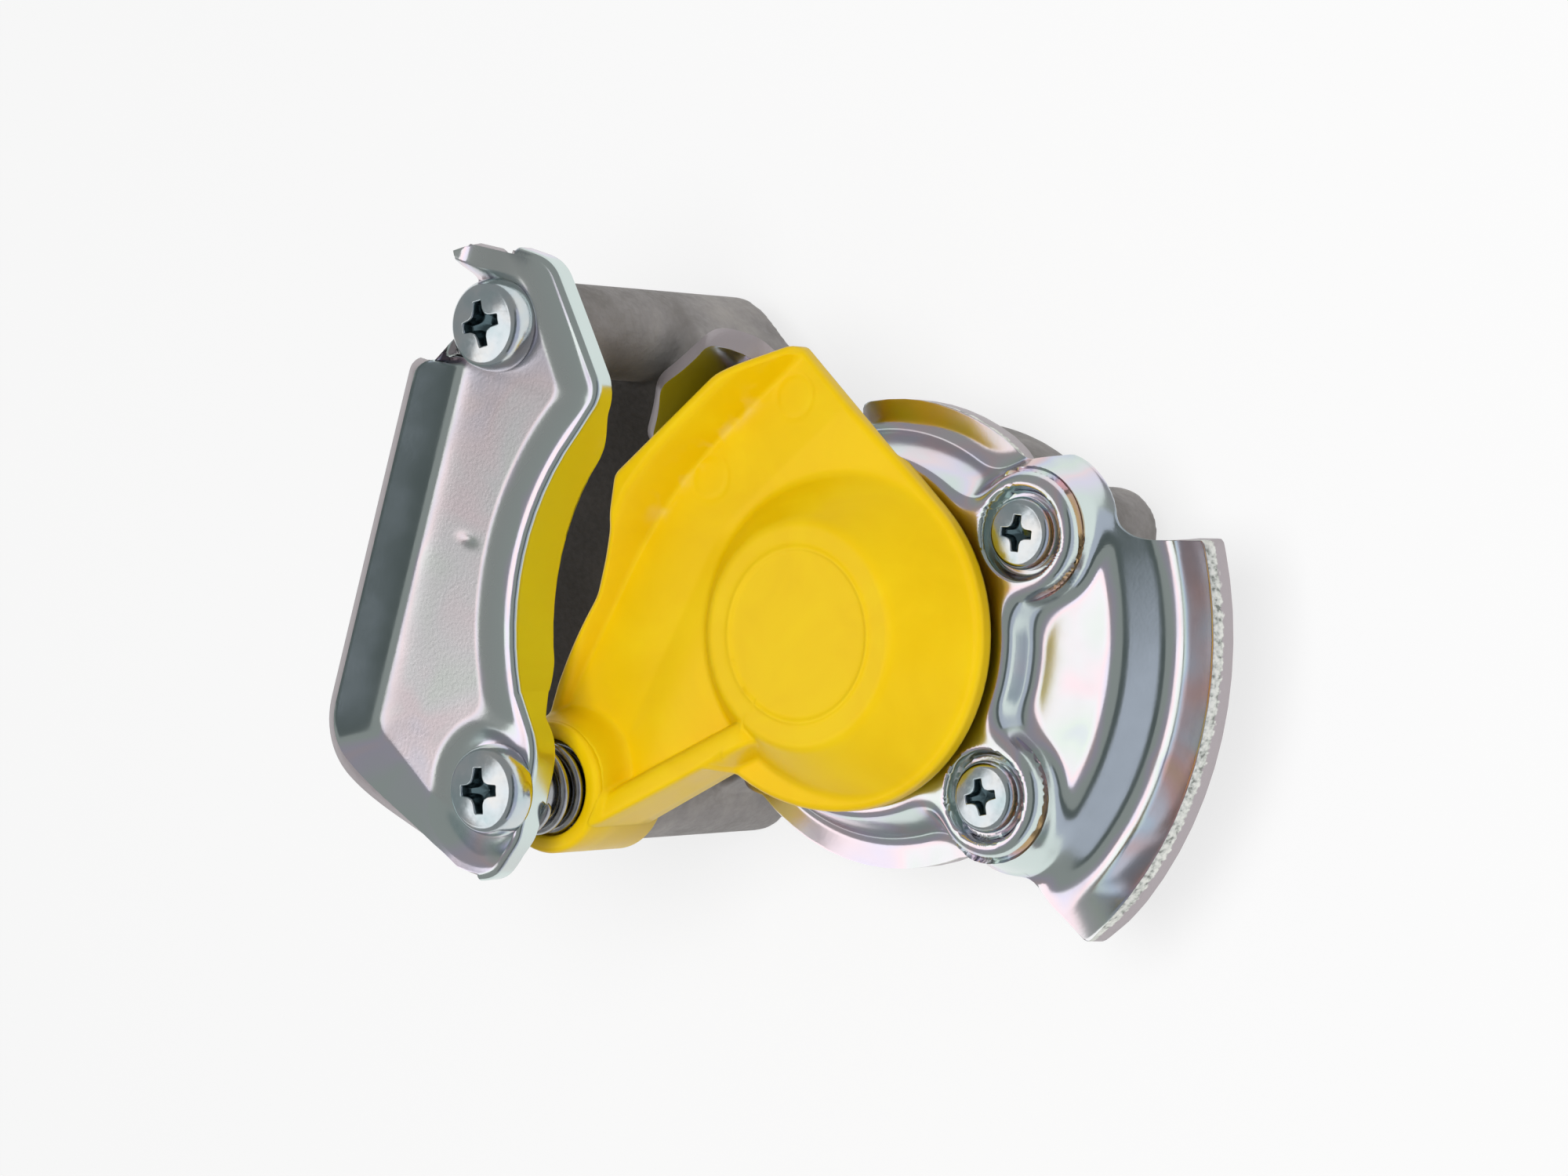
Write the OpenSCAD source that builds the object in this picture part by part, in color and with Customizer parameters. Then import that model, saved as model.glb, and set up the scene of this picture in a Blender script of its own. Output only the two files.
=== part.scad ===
// Palm-type air brake coupling head with a sprung dust cover.
// +Z is the axis of the face seal. The head lies on its flat back at z = 0.
// +X runs from the claw towards the guide lip. Lengths are millimetres.

/* [Casting] */
// Height of the coupling face above the flat back
face_h = 29; // [27:0.5:34]
// Radius of the seal chamber
chamber_r = 28; // [27:0.5:29.5]
// Rounding of the chamber's back edge
back_edge_r = 5; // [2:0.5:7]
// Thickness of the wall behind the chamber
back_wall = 5; // [4:0.5:7]
// Radius of the air chamber behind the seal
air_chamber_r = 13; // [10:0.5:14]
// Radius of the post that carries the claw
post_r = 6.2; // [5.5:0.1:7.5]
// Radius of the post under the cover's pivot
pivot_post_r = 7.6; // [7:0.1:8.5]
// Width of the web between the claw post and the chamber
post_web_w = 13; // [11:0.5:15]
// Width of the web between the pivot post and the chamber
pivot_web_w = 9; // [7:0.5:12]
// Thickness of the rib that ties the two posts together
tie_rib_w = 7; // [5:0.5:9]
// Height of the casting's underside below the claw post
web_back_z = 7; // [5:0.5:9]
// Thickness of the web between the port's boss and the two posts
neck_web_t = 9.5; // [7:0.5:11]

/* [Hose port] */
// Distance from the seal axis to the port's mouth
port_reach = 57; // [54:0.5:66]
// Height of the port's axis above the back
port_z = 12.5; // [12:0.5:13]
// Outer radius of the port's boss
port_boss_r = 12; // [11:0.5:12]
// Wall radius of the threaded bore
port_bore_r = 7.25; // [6:0.05:9]
// Length of the threaded bore
port_depth = 16; // [12:0.5:20]
// Radius of the air passage from the port to the chamber
air_passage_r = 5; // [4:0.5:5.5]

/* [Seal] */
// Outer radius of the seal's seated flange
seal_r = 18; // [17:0.1:18.2]
// Radius of the seal's neck where it passes the face plate
seal_neck_r = 16.4; // [15:0.1:16.6]
// Radius of the seal's air opening
seal_bore_r = 9.5; // [8:0.5:11]
// Height of the seal's flange in its seat
seal_seat_h = 6; // [4:0.5:8]
// How far the seal stands proud of the face
seal_proud = 1.2; // [0.8:0.1:1.5]

/* [Face plate] */
// Thickness of both pressed plates
sheet_t = 3; // [2.5:0.1:3.2]
// Radius at which the plateau starts to bend down
plateau_r = 22.4; // [22.2:0.1:23]
// Drop from the plateau to the flat panel
panel_drop = 4.5; // [4:0.1:5]
// Drop from the plateau to the brim
brim_drop = 8.5; // [8:0.1:9]
// Slope of the pressed walls from upright, degrees
press_draft = 20; // [15:1:25]
// Width of the brim
brim_w = 1.8; // [1:0.1:2.5]
// Radius at which the panel bends into the guide lip
panel_end_r = 35.2; // [34:0.2:37]
// Radius of the guide lip's hollow
lip_hollow_r = 7; // [6:0.2:8]
// Angle at which the guide lip's edge rises, degrees
lip_rise = 42; // [30:1:50]
// Half width of the panel where it leaves the lobes
panel_half_w = 22; // [20:0.5:24]
// Spread of the panel's upper end from the X direction, degrees
spread_upper = 17; // [14:1:24]
// Spread of the panel's lower end from the X direction, degrees
spread_lower = 24; // [18:1:28]
// Radius of the face screws' circle
screw_circle_r = 28.5; // [28:0.1:29.5]
// Direction of the face screw at the upper end of the panel, degrees
screw_dir_upper = 44.6; // [42:0.2:47]
// Direction of the face screw at the lower end of the panel, degrees
screw_dir_lower = -27.3; // [-30:0.2:-25]
// Direction of the face screw on the tab, degrees
screw_dir_tab = 150; // [147:0.5:151]
// Radius of a screw lobe's flat top
lobe_r = 6.2; // [5.8:0.1:7]
// Radius of the recess round a screw head
head_recess_r = 5.5; // [5:0.1:5.7]

/* [Claw] */
// Free height under the claw, above the coupling face
claw_gap = 22; // [20:0.5:26]
// Radius of the claw's inner edge about the seal axis
bite_r = 36.3; // [35.5:0.1:37]
// Depth of the turned-down wall on the inner edge
bite_wall_h = 8; // [6:0.5:8]
// Width of the claw from its inner edge to the straight outer fold
claw_w = 15.3; // [14.5:0.1:16.5]
// Distance from the claw's inner edge to the claw screw
post_reach = 17.7; // [17:0.1:18.5]
// Direction of the claw screw from the seal axis, degrees
post_dir = 150.7; // [149:0.1:152]
// Distance from the claw's inner edge to the pivot screw
pivot_reach = 7.33; // [7.2:0.01:7.6]
// Direction of the pivot screw from the seal axis, degrees
pivot_dir = 225.46; // [224:0.01:227]
// Height of the raised panel above the sheet
panel_rise = 2; // [1.5:0.1:2.5]
// Height of the upturned outer edge above the panel
fold_h = 5; // [4:0.5:7]
// Lean of the upturned edge from upright, degrees
fold_lean = 35; // [25:1:40]
// Height of the lead-in flare above the panel
flare_h = 4.5; // [3:0.5:7]

/* [Cover] */
// Gap between the coupling face and the cover's rim
cover_gap = 1.7; // [1.6:0.05:2]
// Outer radius of the cover's rim
rim_r = 23.1; // [22.6:0.1:23.5]
// Radius at the foot of the dome's cone
cone_foot_r = 20.9; // [20.5:0.1:21.2]
// Radius at the top of the dome's cone
cone_top_r = 14.8; // [14:0.1:15.5]
// Height of the dome's top above the coupling face
dome_h = 12.3; // [11.5:0.1:13]
// Radius of the fine ring on the dome
dome_ring_r = 11.4; // [10:0.2:12]
// Wall thickness of the moulding
mould_t = 2.5; // [2:0.1:2.8]
// Outer radius of the pivot boss
boss_r = 8.7; // [8.5:0.1:9.2]
// Height of the pivot boss above the coupling face
boss_h = 15.5; // [15:0.1:16.5]
// Depth of the spring's pocket
pocket_depth = 9.5; // [8:0.5:10.5]
// Thickness of the rib along the lower edge
rib_t = 4; // [3:0.1:4.5]
// Opening angle of the cover, degrees
cover_open = 0; // [0:5:100]

/* [Pivot and fasteners] */
// Outer radius of the pivot sleeve
sleeve_r = 4.5; // [4.2:0.1:4.6]
// Radius of the spring's wire
wire_r = 0.7; // [0.5:0.05:0.75]
// Turns of the spring
spring_turns = 5; // [4:1:6]
// Head radius of the claw screws
claw_head_r = 6; // [5.5:0.1:6.3]
// Head height of the claw screws
claw_head_h = 4.3; // [3.5:0.1:4.8]
// Shank radius of the claw screws
claw_shank_r = 2.9; // [2.5:0.1:3]
// Length of the claw screw's shank in the post
claw_grip = 16; // [12:1:20]
// Head radius of the face screws
face_head_r = 4.65; // [4.2:0.05:4.8]
// Head height of the face screws
face_head_h = 2.6; // [2.3:0.1:2.7]
// Shank radius of the face screws
face_shank_r = 2.4; // [2:0.1:2.5]
// Length of the face screws' shanks in the casting
face_grip = 11; // [8:0.5:12]

/* [Hidden] */
$fn = 96;

// Clearances
screw_slip = 0.1;
run_slip = 0.05;
seat_gap = 0.3;
plate_slip = 0.3;
cut = 1;

// Levels above the back
plate_back_z = face_h - sheet_t;
panel_z = face_h - panel_drop;
brim_z = face_h - brim_drop;
shoulder_z = brim_z - sheet_t - seat_gap;
panel_back_z = panel_z - sheet_t;
seat_z = plate_back_z - seal_seat_h;
cover_z = face_h + cover_gap;
claw_z = face_h + claw_gap;
claw_top_z = claw_z + sheet_t;
claw_panel_z = claw_top_z + panel_rise;
post_top_z = claw_z + panel_rise;
boss_top_z = face_h + boss_h;
pocket_z = boss_top_z - pocket_depth;
pivot_top_z = cover_z - seat_gap;

// Fits that follow from the pieces
sheet_inset = sheet_t * tan(45 - press_draft / 2);
spigot_r = plateau_r - sheet_inset - plate_slip;
plate_hole_r = seal_neck_r + plate_slip;
seat_r = seal_r + seat_gap / 2;
lobe_core_r = lobe_r - sheet_inset - plate_slip;
sleeve_bore_r = claw_shank_r + screw_slip;
coil_r = sleeve_r + wire_r + seat_gap;
pocket_r = coil_r + wire_r + seat_gap;
face_shank_hole_r = face_shank_r + screw_slip;
claw_shank_hole_r = claw_shank_r + screw_slip;
head_seat_z = face_h + seal_proud - seat_gap - face_head_h;

// Rounding of the pressed bends
bend_r = 1.6;
lobe_bend_r = 1.2;
foot_bend_r = 2;
lobe_draft = press_draft + 6;
lip_bend_r = sheet_t + 0.5;
lip_bend_dir = 30;
arc_steps = 6;

screw_dirs = [screw_dir_upper, screw_dir_lower, screw_dir_tab];
lobe_dirs = [screw_dir_upper, screw_dir_lower];

aluminium = "#8c8885";
zinc = "#d5d7da";
rubber = "#222222";
steel = "#a9acb0";
yellow = "#ecc410";

// Places of the two posts, and the line of the outer fold
post_at = polar(bite_r + post_reach, post_dir);
pivot_at = polar(bite_r + pivot_reach, pivot_dir);
fold_x = bite_r + claw_w;

function polar(r, a) = r * [cos(a), sin(a)];
function last(list) = list[len(list) - 1];
function reversed(list) = [for (i = [len(list) - 1:-1:0]) list[i]];
function shifted(list, v) = [for (p = list) p + v];
function unit(v) = v / norm(v);
function arc(c, r, from, to, n = arc_steps) = [for (i = [0:n]) c + polar(r, from + (to - from) * i / n)];

// Points of a rounded corner at c, between the neighbours p and q
function corner(p, c, q, r, n = arc_steps) =
    let (
        u = unit(p - c),
        v = unit(q - c),
        half = acos(u * v) / 2,
        m = c + unit(u + v) * r / sin(half),
        s = c + u * r / tan(half) - m,
        e = c + v * r / tan(half) - m,
        turn = atan2(s[0] * e[1] - s[1] * e[0], s * e),
        from = atan2(s[1], s[0])
    )
    arc(m, r, from, from + turn, n);

// Closed outline through the points [x, y, r], each corner rounded by its r
function rounded(pts) =
    let (n = len(pts), at = [for (p = pts) [p[0], p[1]]])
    [for (i = [0:n - 1]) each corner(at[(i + n - 1) % n], at[i], at[(i + 1) % n], pts[i][2])];

// Upper face of a pressed step that drops from radius r0, as radius and height.
// crown_r rounds the edge at the top, and draft is the wall's slope from upright.
function step_face(r0, drop, run_out, crown_r, draft) =
    let (
        wall = (drop - (crown_r + foot_bend_r) * (1 - sin(draft))) / cos(draft),
        crown = arc([r0, face_h - crown_r], crown_r, 90, draft),
        foot = last(crown) + wall * [sin(draft), -cos(draft)],
        fillet = arc(foot + polar(foot_bend_r, draft), foot_bend_r, 180 + draft, 270)
    )
    concat([[r0 - sheet_inset, face_h]], crown, fillet, [last(fillet) + [run_out, 0]]);

skirt_face = step_face(plateau_r, brim_drop, brim_w, bend_r, press_draft);
lobe_face = step_face(lobe_r, panel_drop, 0, lobe_bend_r, lobe_draft);

// Solid under such a face, from the radius start outwards and closed at the height low
module pressed_form(face, start, low) {
    polygon(concat([[start, low], [start, face_h]], face, [[last(face)[0], low]]));
}

// Space under the sheet there: the face moved in and down by the sheet's thickness, open to the back
module pressed_hollow(face, run_out) {
    back = shifted(face, [-sheet_inset, -sheet_t]);
    polygon(concat([[0, 0], [0, plate_back_z]], back, [[last(back)[0] - run_out, 0]]));
}

module sector(from, to) {
    rotate([0, 0, from])
        rotate_extrude(angle = to - from)
            children();
}

module at(place, z = 0) {
    translate([place[0], place[1], z])
        children();
}

// Bar between two places, seen from above
module bar(from, to, width) {
    along = to - from;
    translate(from)
        rotate(atan2(along[1], along[0]))
            translate([0, -width / 2])
                square([norm(along), width]);
}

// Cross recess in a head of radius r and height h
recess_span = 1.15;
recess_share = 0.55;
recess_blade = 0.28;
recess_turn = 20;

module cross_recess(r, h) {
    size = r * recess_span;
    depth = h * recess_share;
    blade = size * recess_blade;
    for (a = [0, 90])
        rotate(a)
            translate([-size / 2, -blade / 2, -depth])
                cube([size, blade, depth + cut]);
}

// Casting

module chamber_section() {
    wall = concat(
        [[0, 0]],
        arc([chamber_r - back_edge_r, back_edge_r], back_edge_r, -90, 0),
        [[chamber_r, shoulder_z], [spigot_r, shoulder_z], [spigot_r, plate_back_z], [0, plate_back_z]]
    );
    polygon(wall);
}

module chamber_hollow() {
    at([0, 0], back_wall)
        cylinder(r = air_chamber_r, h = face_h);
    at([0, 0], seat_z)
        cylinder(r = seat_r, h = face_h);
}

module port_hollow() {
    translate([-port_reach, 0, port_z])
        rotate([0, 90, 0]) {
            translate([0, 0, -cut])
                cylinder(r = port_bore_r, h = port_depth + cut);
            cylinder(r = air_passage_r, h = port_reach);
        }
}

// Boss under a screw lobe, with the core that fills the lobe
module lobe_boss(dir) {
    at(polar(screw_circle_r, dir)) {
        at([0, 0], shoulder_z - face_grip)
            cylinder(r = lobe_r, h = panel_back_z - seat_gap - shoulder_z + face_grip);
        at([0, 0], shoulder_z)
            cylinder(r = lobe_core_r, h = plate_back_z - shoulder_z);
    }
}

// Neck that carries the posts from the port's boss, higher outside the face plate's brim
neck_margin = 2;
neck_x = port_reach - neck_margin;
neck_y = port_boss_r + neck_margin;
neck_outline = [post_at, [-neck_x, neck_y], [-neck_x, -neck_y], pivot_at];
neck_top_z = port_z + port_boss_r - neck_margin;
neck_inner_r = last(skirt_face)[0] + 2 * seat_gap;

module webs() {
    at([0, 0], web_back_z)
        linear_extrude(plate_back_z - web_back_z)
            bar([0, 0], post_at, post_web_w);
    at([0, 0], web_back_z)
        linear_extrude(shoulder_z - web_back_z)
            bar([0, 0], pivot_at, pivot_web_w);
    at([0, 0], web_back_z)
        linear_extrude(shoulder_z - web_back_z)
            bar(post_at, pivot_at, tie_rib_w);
    neck_back_z = shoulder_z - neck_web_t;
    at([0, 0], neck_back_z)
        linear_extrude(neck_web_t)
            polygon(concat([[0, 0]], neck_outline));
    difference() {
        at([0, 0], neck_back_z + cut)
            linear_extrude(neck_top_z - neck_back_z - cut)
                polygon(neck_outline);
        cylinder(r = neck_inner_r, h = face_h);
    }
}

module body() {
    color(aluminium)
        difference() {
            union() {
                rotate_extrude()
                    chamber_section();
                for (dir = lobe_dirs)
                    lobe_boss(dir);
                at(post_at, web_back_z)
                    cylinder(r = post_r, h = post_top_z - web_back_z);
                at(pivot_at, 0)
                    cylinder(r = pivot_post_r, h = pivot_top_z);
                translate([-port_reach, 0, port_z])
                    rotate([0, 90, 0])
                        cylinder(r = port_boss_r, h = port_reach);
                webs();
            }
            chamber_hollow();
            port_hollow();
            for (dir = screw_dirs)
                at(polar(screw_circle_r, dir), plate_back_z - face_grip)
                    cylinder(r = face_shank_hole_r, h = face_h);
            at(post_at, post_top_z - claw_grip)
                cylinder(r = claw_shank_hole_r, h = claw_grip + cut);
            at(pivot_at, pivot_top_z - claw_grip)
                cylinder(r = claw_shank_hole_r, h = claw_grip + cut);
        }
}

// Seal

seal_edge = 0.6;
seal_bevel = 2.4;

module seal_ring() {
    lip_z = face_h + seal_proud;
    color(rubber)
        rotate_extrude()
            polygon([
                [seal_bore_r, seat_z],
                [seal_r, seat_z],
                [seal_r, plate_back_z],
                [seal_neck_r, plate_back_z],
                [seal_neck_r, lip_z - seal_edge],
                [seal_neck_r - seal_edge, lip_z],
                [seal_bore_r + seal_bevel, lip_z],
                [seal_bore_r, lip_z - seal_bevel / 2]
            ]);
}

// Face plate

// Tab that reaches from the plateau to its screw, with the radii of its corners
tab_outline = [
    [-14, 8, 1], [-39.5, 14.5, 3], [-39.5, 21, 4], [-33, 29.5, 4], [-27, 29.5, 4], [-8, 17, 2]
];

// Directions between which the skirt runs, clear of the port and the tab
skirt_from = 214;
skirt_to = 360 + 118;

module plateau() {
    at([0, 0], plate_back_z)
        linear_extrude(sheet_t) {
            circle(r = plateau_r);
            for (dir = lobe_dirs) {
                translate(polar(screw_circle_r, dir))
                    circle(r = lobe_r);
                bar(polar(plateau_r - lobe_r, dir), polar(screw_circle_r, dir), 2 * lobe_r);
            }
            polygon(rounded(tab_outline));
        }
}

// Panel and guide lip: bends down at the panel's end, then rises to the lip's edge
module lip_section() {
    crown_c = [panel_end_r, panel_z - lip_bend_r];
    turn = crown_c + polar(lip_bend_r + lip_hollow_r, lip_bend_dir);
    face = concat(
        arc(crown_c, lip_bend_r, 90, lip_bend_dir),
        arc(turn, lip_hollow_r, 180 + lip_bend_dir, 270 + lip_rise, 2 * arc_steps)
    );
    back = concat(
        arc(crown_c, lip_bend_r - sheet_t, 90, lip_bend_dir),
        arc(turn, lip_hollow_r + sheet_t, 180 + lip_bend_dir, 270 + lip_rise, 2 * arc_steps)
    );
    polygon(concat([[plateau_r, panel_z]], face, reversed(back), [[plateau_r, panel_z - sheet_t]]));
}

// Spread of the panel and lip seen from above, with a margin at the sides
module panel_outline(margin) {
    root = chamber_r;
    far = panel_end_r + 3 * lip_hollow_r;
    half_w = panel_half_w + margin;
    low = -half_w - (far - root) * tan(spread_lower);
    high = half_w + (far - root) * tan(spread_upper);
    polygon([[0, -half_w], [root, -half_w], [far, low], [far, high], [root, half_w], [0, half_w]]);
}

module panel_and_lip() {
    intersection() {
        sector(-60, 60)
            lip_section();
        linear_extrude(face_h)
            panel_outline(0);
    }
}

// Pressed forms before the hollow under them is taken out
module pressed_forms() {
    sector(skirt_from, skirt_to)
        pressed_form(skirt_face, air_chamber_r, brim_z - sheet_t);
    for (dir = lobe_dirs)
        at(polar(screw_circle_r, dir))
            rotate_extrude()
                pressed_form(lobe_face, 0, panel_back_z);
}

// Space behind the flat panel, where the skirt stops at the panel's back
module behind_panel() {
    intersection() {
        linear_extrude(panel_back_z)
            panel_outline(plate_slip);
        cylinder(r = panel_end_r - cut, h = panel_back_z);
    }
}

module pressed_hollows() {
    rotate_extrude()
        pressed_hollow(skirt_face, brim_w);
    for (dir = lobe_dirs)
        at(polar(screw_circle_r, dir))
            rotate_extrude()
                pressed_hollow(lobe_face, 0);
}

module face_plate() {
    color(zinc)
        difference() {
            union() {
                plateau();
                pressed_forms();
                panel_and_lip();
            }
            pressed_hollows();
            behind_panel();
            cylinder(r = plate_hole_r, h = 2 * face_h);
            for (dir = screw_dirs)
                at(polar(screw_circle_r, dir)) {
                    cylinder(r = face_shank_hole_r, h = 2 * face_h);
                    at([0, 0], head_seat_z)
                        cylinder(r = head_recess_r, h = face_h);
                }
        }
}

module face_screw() {
    difference() {
        union() {
            cylinder(r = face_head_r, h = face_head_h);
            at([0, 0], plate_back_z - face_grip - head_seat_z)
                cylinder(r = face_shank_r, h = head_seat_z - plate_back_z + face_grip);
        }
        at([0, 0], face_head_h)
            cross_recess(face_head_r, face_head_h);
    }
}

module face_screws() {
    color(steel)
        for (dir = screw_dirs)
            at(polar(screw_circle_r, dir), head_seat_z)
                rotate(dir)
                    face_screw();
}

// Claw

// Directions between which the inner edge follows the seal axis
bite_from = 152;
bite_to = 212;

// Low strip along the inner edge, and run of the slopes up to the panel
strip_w = 1;
slope_w = 1.3;

// Sheet round the two screws, from their centres
post_left = 5.6;
post_top = 9;
post_right = 4;
pivot_right = 4.8;
pivot_top = 4;
pivot_low = 11.4;

// Corner of the outer fold, and its course from there to the toe under the pivot screw
fold_turn = 66.5;
fold_lap = sheet_t / 2;
fold_corner_r = sheet_t + 0.2;
fold_corner_at = [-fold_x + fold_corner_r, pivot_at[1] + fold_corner_r + seat_gap];
fold_top_y = post_at[1] - claw_head_r - 2 * seat_gap;
toe_at = fold_corner_at + polar(fold_corner_r, 180 + fold_turn);
toe_len = 17;
toe_h = 0.6;

// Lead-in at the claw screw
flare_lean = 18;
flare_at = post_at + [post_right + toe_h, claw_head_r + seat_gap];
ledge_dir = 40;

function with_r(p, r) = [p[0], p[1], r];

function claw_outline() = rounded([
    with_r(polar(bite_r - sheet_t, bite_from), 1),
    with_r(polar(bite_r - sheet_t, bite_to), 1),
    with_r(pivot_at + [pivot_right, pivot_top], 6),
    with_r(pivot_at + [pivot_right, -pivot_low + 3], 3),
    with_r(pivot_at + [-1, -pivot_low], 4),
    with_r(toe_at - polar(fold_lap, 180 + fold_turn), 1.5),
    with_r([-fold_x + fold_lap, fold_corner_at[1]], 1.5),
    with_r([-fold_x + fold_lap, fold_top_y], 1),
    with_r(post_at + [-post_left, -claw_head_r / 2], 1.5),
    with_r(post_at + [-post_left, post_top], 1.5),
    with_r(post_at + [post_right, post_top], 4),
    with_r(post_at + [4 * post_right, -post_right], 3)
]);

// Cone round a low area: its side slopes from radius r at the sheet up to the panel
module low_cone(r) {
    draft = slope_w / panel_rise;
    top = panel_rise + fold_h;
    translate([0, 0, -2 * cut])
        cylinder(r1 = r - 2 * cut * draft, r2 = r + top * draft, h = top + 2 * cut);
}

// Low area beyond a straight sloping side, which faces dir and meets the sheet at place
module low_side(place, dir) {
    at(place)
        rotate([0, 0, dir])
            rotate([0, -atan2(slope_w, panel_rise), 0])
                translate([0, -bite_r, -bite_r])
                    cube([bite_r, 2 * bite_r, 2 * bite_r]);
}

// Low areas: the strip along the inner edge, the pivot screw's seat and the ledge at the claw screw
module low_areas() {
    low_cone(bite_r + strip_w);
    at(pivot_at)
        low_cone(claw_head_r + seat_gap);
    low_side(post_at + polar(post_top, ledge_dir), ledge_dir);
}

// Section of an upturned edge, as distance out from its crease and height above the panel
module fold_section(h, lean) {
    polygon([
        [-sheet_t, -sheet_t],
        [-sheet_t, 0],
        [0, 0],
        [h * tan(lean), h],
        [h * tan(lean) + sheet_t * cos(lean), h - sheet_t * sin(lean)],
        [sheet_t * tan(45 - lean / 2), -sheet_t]
    ]);
}

// Straight upturned edge with the outside on its right, trimmed to run from one height to another
module fold_strip(start, dir, length, h, lean, from, to) {
    reach = 3 * h;
    at(start, claw_panel_z)
        rotate(dir)
            intersection() {
                rotate([90, 0, 90])
                    linear_extrude(length)
                        mirror([1, 0])
                            fold_section(h, lean);
                translate([0, reach, 0])
                    rotate([90, 0, 0])
                        linear_extrude(2 * reach)
                            polygon([
                                [-cut, -reach],
                                [length + cut, -reach],
                                [length + cut, to],
                                [-cut, from]
                            ]);
            }
}

// Outer edge: upturned along the fold, round its corner and down to the toe
module outer_fold() {
    whole = fold_h + cut;
    fold_strip([-fold_x, fold_top_y], -90, fold_top_y - fold_corner_at[1], fold_h, fold_lean, whole, whole);
    at(fold_corner_at, claw_panel_z)
        sector(180, 180 + fold_turn)
            translate([fold_corner_r, 0])
                fold_section(fold_h, fold_lean);
    fold_strip(toe_at, fold_turn - 90, toe_len, fold_h, fold_lean, fold_h + seat_gap, toe_h);
}

// Lead-in: the top edge rises from the claw screw towards the outer corner
module lead_in() {
    fold_strip(flare_at, 180, flare_at[0] - post_at[0] + post_left, flare_h, flare_lean, 0, flare_h);
}

// Turned-down wall on the inner edge, which the bite then trims
module bite_wall() {
    sector(bite_from + 4, bite_to - 4)
        translate([bite_r - cut, claw_top_z - bite_wall_h])
            square([sheet_t + cut, bite_wall_h]);
}

// What stands above the low areas: the panel, and the upturned edges that rise from it
module raised_parts() {
    difference() {
        union() {
            at([0, 0], claw_top_z - cut)
                linear_extrude(panel_rise + cut)
                    polygon(claw_outline());
            outer_fold();
            lead_in();
        }
        at([0, 0], claw_top_z)
            low_areas();
    }
}

// Space below the panel, which follows it at the sheet's thickness
module panel_hollow() {
    at([0, 0], claw_z)
        difference() {
            translate([-2 * fold_x, -fold_x, -cut])
                cube([2 * fold_x, 2 * fold_x, panel_rise + cut]);
            low_areas();
        }
}

module claw_plate() {
    color(zinc)
        difference() {
            union() {
                difference() {
                    union() {
                        at([0, 0], claw_z)
                            linear_extrude(sheet_t)
                                polygon(claw_outline());
                        raised_parts();
                    }
                    panel_hollow();
                }
                bite_wall();
            }
            cylinder(r = bite_r, h = 2 * claw_z);
            for (place = [post_at, pivot_at])
                at(place)
                    cylinder(r = claw_shank_hole_r, h = 2 * claw_z);
        }
}

// Share of a pan head's height that its edge is rounded by
pan_round = 0.45;

module pan_screw(shank) {
    edge = claw_head_h * pan_round;
    difference() {
        union() {
            rotate_extrude()
                polygon(concat(
                    [[0, 0], [claw_head_r, 0]],
                    arc([claw_head_r - edge, claw_head_h - edge], edge, 0, 90),
                    [[0, claw_head_h]]
                ));
            at([0, 0], -shank)
                cylinder(r = claw_shank_r, h = shank);
        }
        at([0, 0], claw_head_h)
            cross_recess(claw_head_r, claw_head_h);
    }
}

module claw_screw() {
    color(steel)
        at(post_at, claw_panel_z)
            rotate(recess_turn)
                pan_screw(sheet_t + claw_grip);
}

module pivot_screw() {
    color(steel)
        at(pivot_at, claw_top_z)
            rotate(recess_turn)
                pan_screw(claw_top_z - pivot_top_z + claw_grip);
}

module pivot_sleeve() {
    color(steel)
        at(pivot_at, pivot_top_z)
            difference() {
                cylinder(r = sleeve_r, h = claw_z - pivot_top_z);
                at([0, 0], -cut)
                    cylinder(r = sleeve_bore_r, h = 2 * claw_z);
            }
}

// Spring: a round wire swept along a helix, from the pocket's floor to the claw

wire_sides = 8;
turn_steps = 20;

module torsion_spring() {
    low = pocket_z + wire_r + seat_gap;
    high = claw_z - wire_r - screw_slip;
    rings = spring_turns * turn_steps;
    points = [
        for (i = [0:rings], k = [0:wire_sides - 1])
            let (
                turn = 360 * i / turn_steps,
                ring = polar(wire_r, 360 * k / wire_sides),
                r = coil_r + ring[0]
            )
            [r * cos(turn), r * sin(turn), low + (high - low) * i / rings + ring[1]]
    ];
    sides = [
        for (i = [0:rings - 1], k = [0:wire_sides - 1])
            let (a = i * wire_sides + k, b = i * wire_sides + (k + 1) % wire_sides)
            [a, a + wire_sides, b + wire_sides, b]
    ];
    ends = [
        [for (k = [0:wire_sides - 1]) k],
        [for (k = [wire_sides - 1:-1:0]) rings * wire_sides + k]
    ];
    color(steel)
        at(pivot_at)
            polyhedron(points, concat(sides, ends));
}

// Cover

// Corners of the arm, and the direction of its rib
apex_at = [-12.4, 35.3];
elbow_at = [-34.7, 12.3];
knee_at = [-32.4, 3];
heel_at = [-34, -18];
rib_dir = 46;
arm_back_z = cover_z + 1.3;

// Edges of the dome
rim_h = 1.6;
rim_fillet = 0.8;
dome_edge = 0.5;
ring_w = 0.4;
hollow_taper = 0.7;

// Tops of the cover's walls lie in one plane that falls away from the boss
top_tilt = [-3.7, 3.9];
top_level = 11.4;
// Floor between the walls falls towards the apex
floor_tilt = [-6.2, 0];
floor_level = 7.6;

function tangent_dir(p, r) = atan2(p[1], p[0]) - acos(r / norm(p));

function rib_foot() = pivot_at + polar(boss_r, rib_dir - 90);
function rib_end() = rib_foot() + polar(norm(pivot_at) - cone_top_r, rib_dir);

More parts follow.
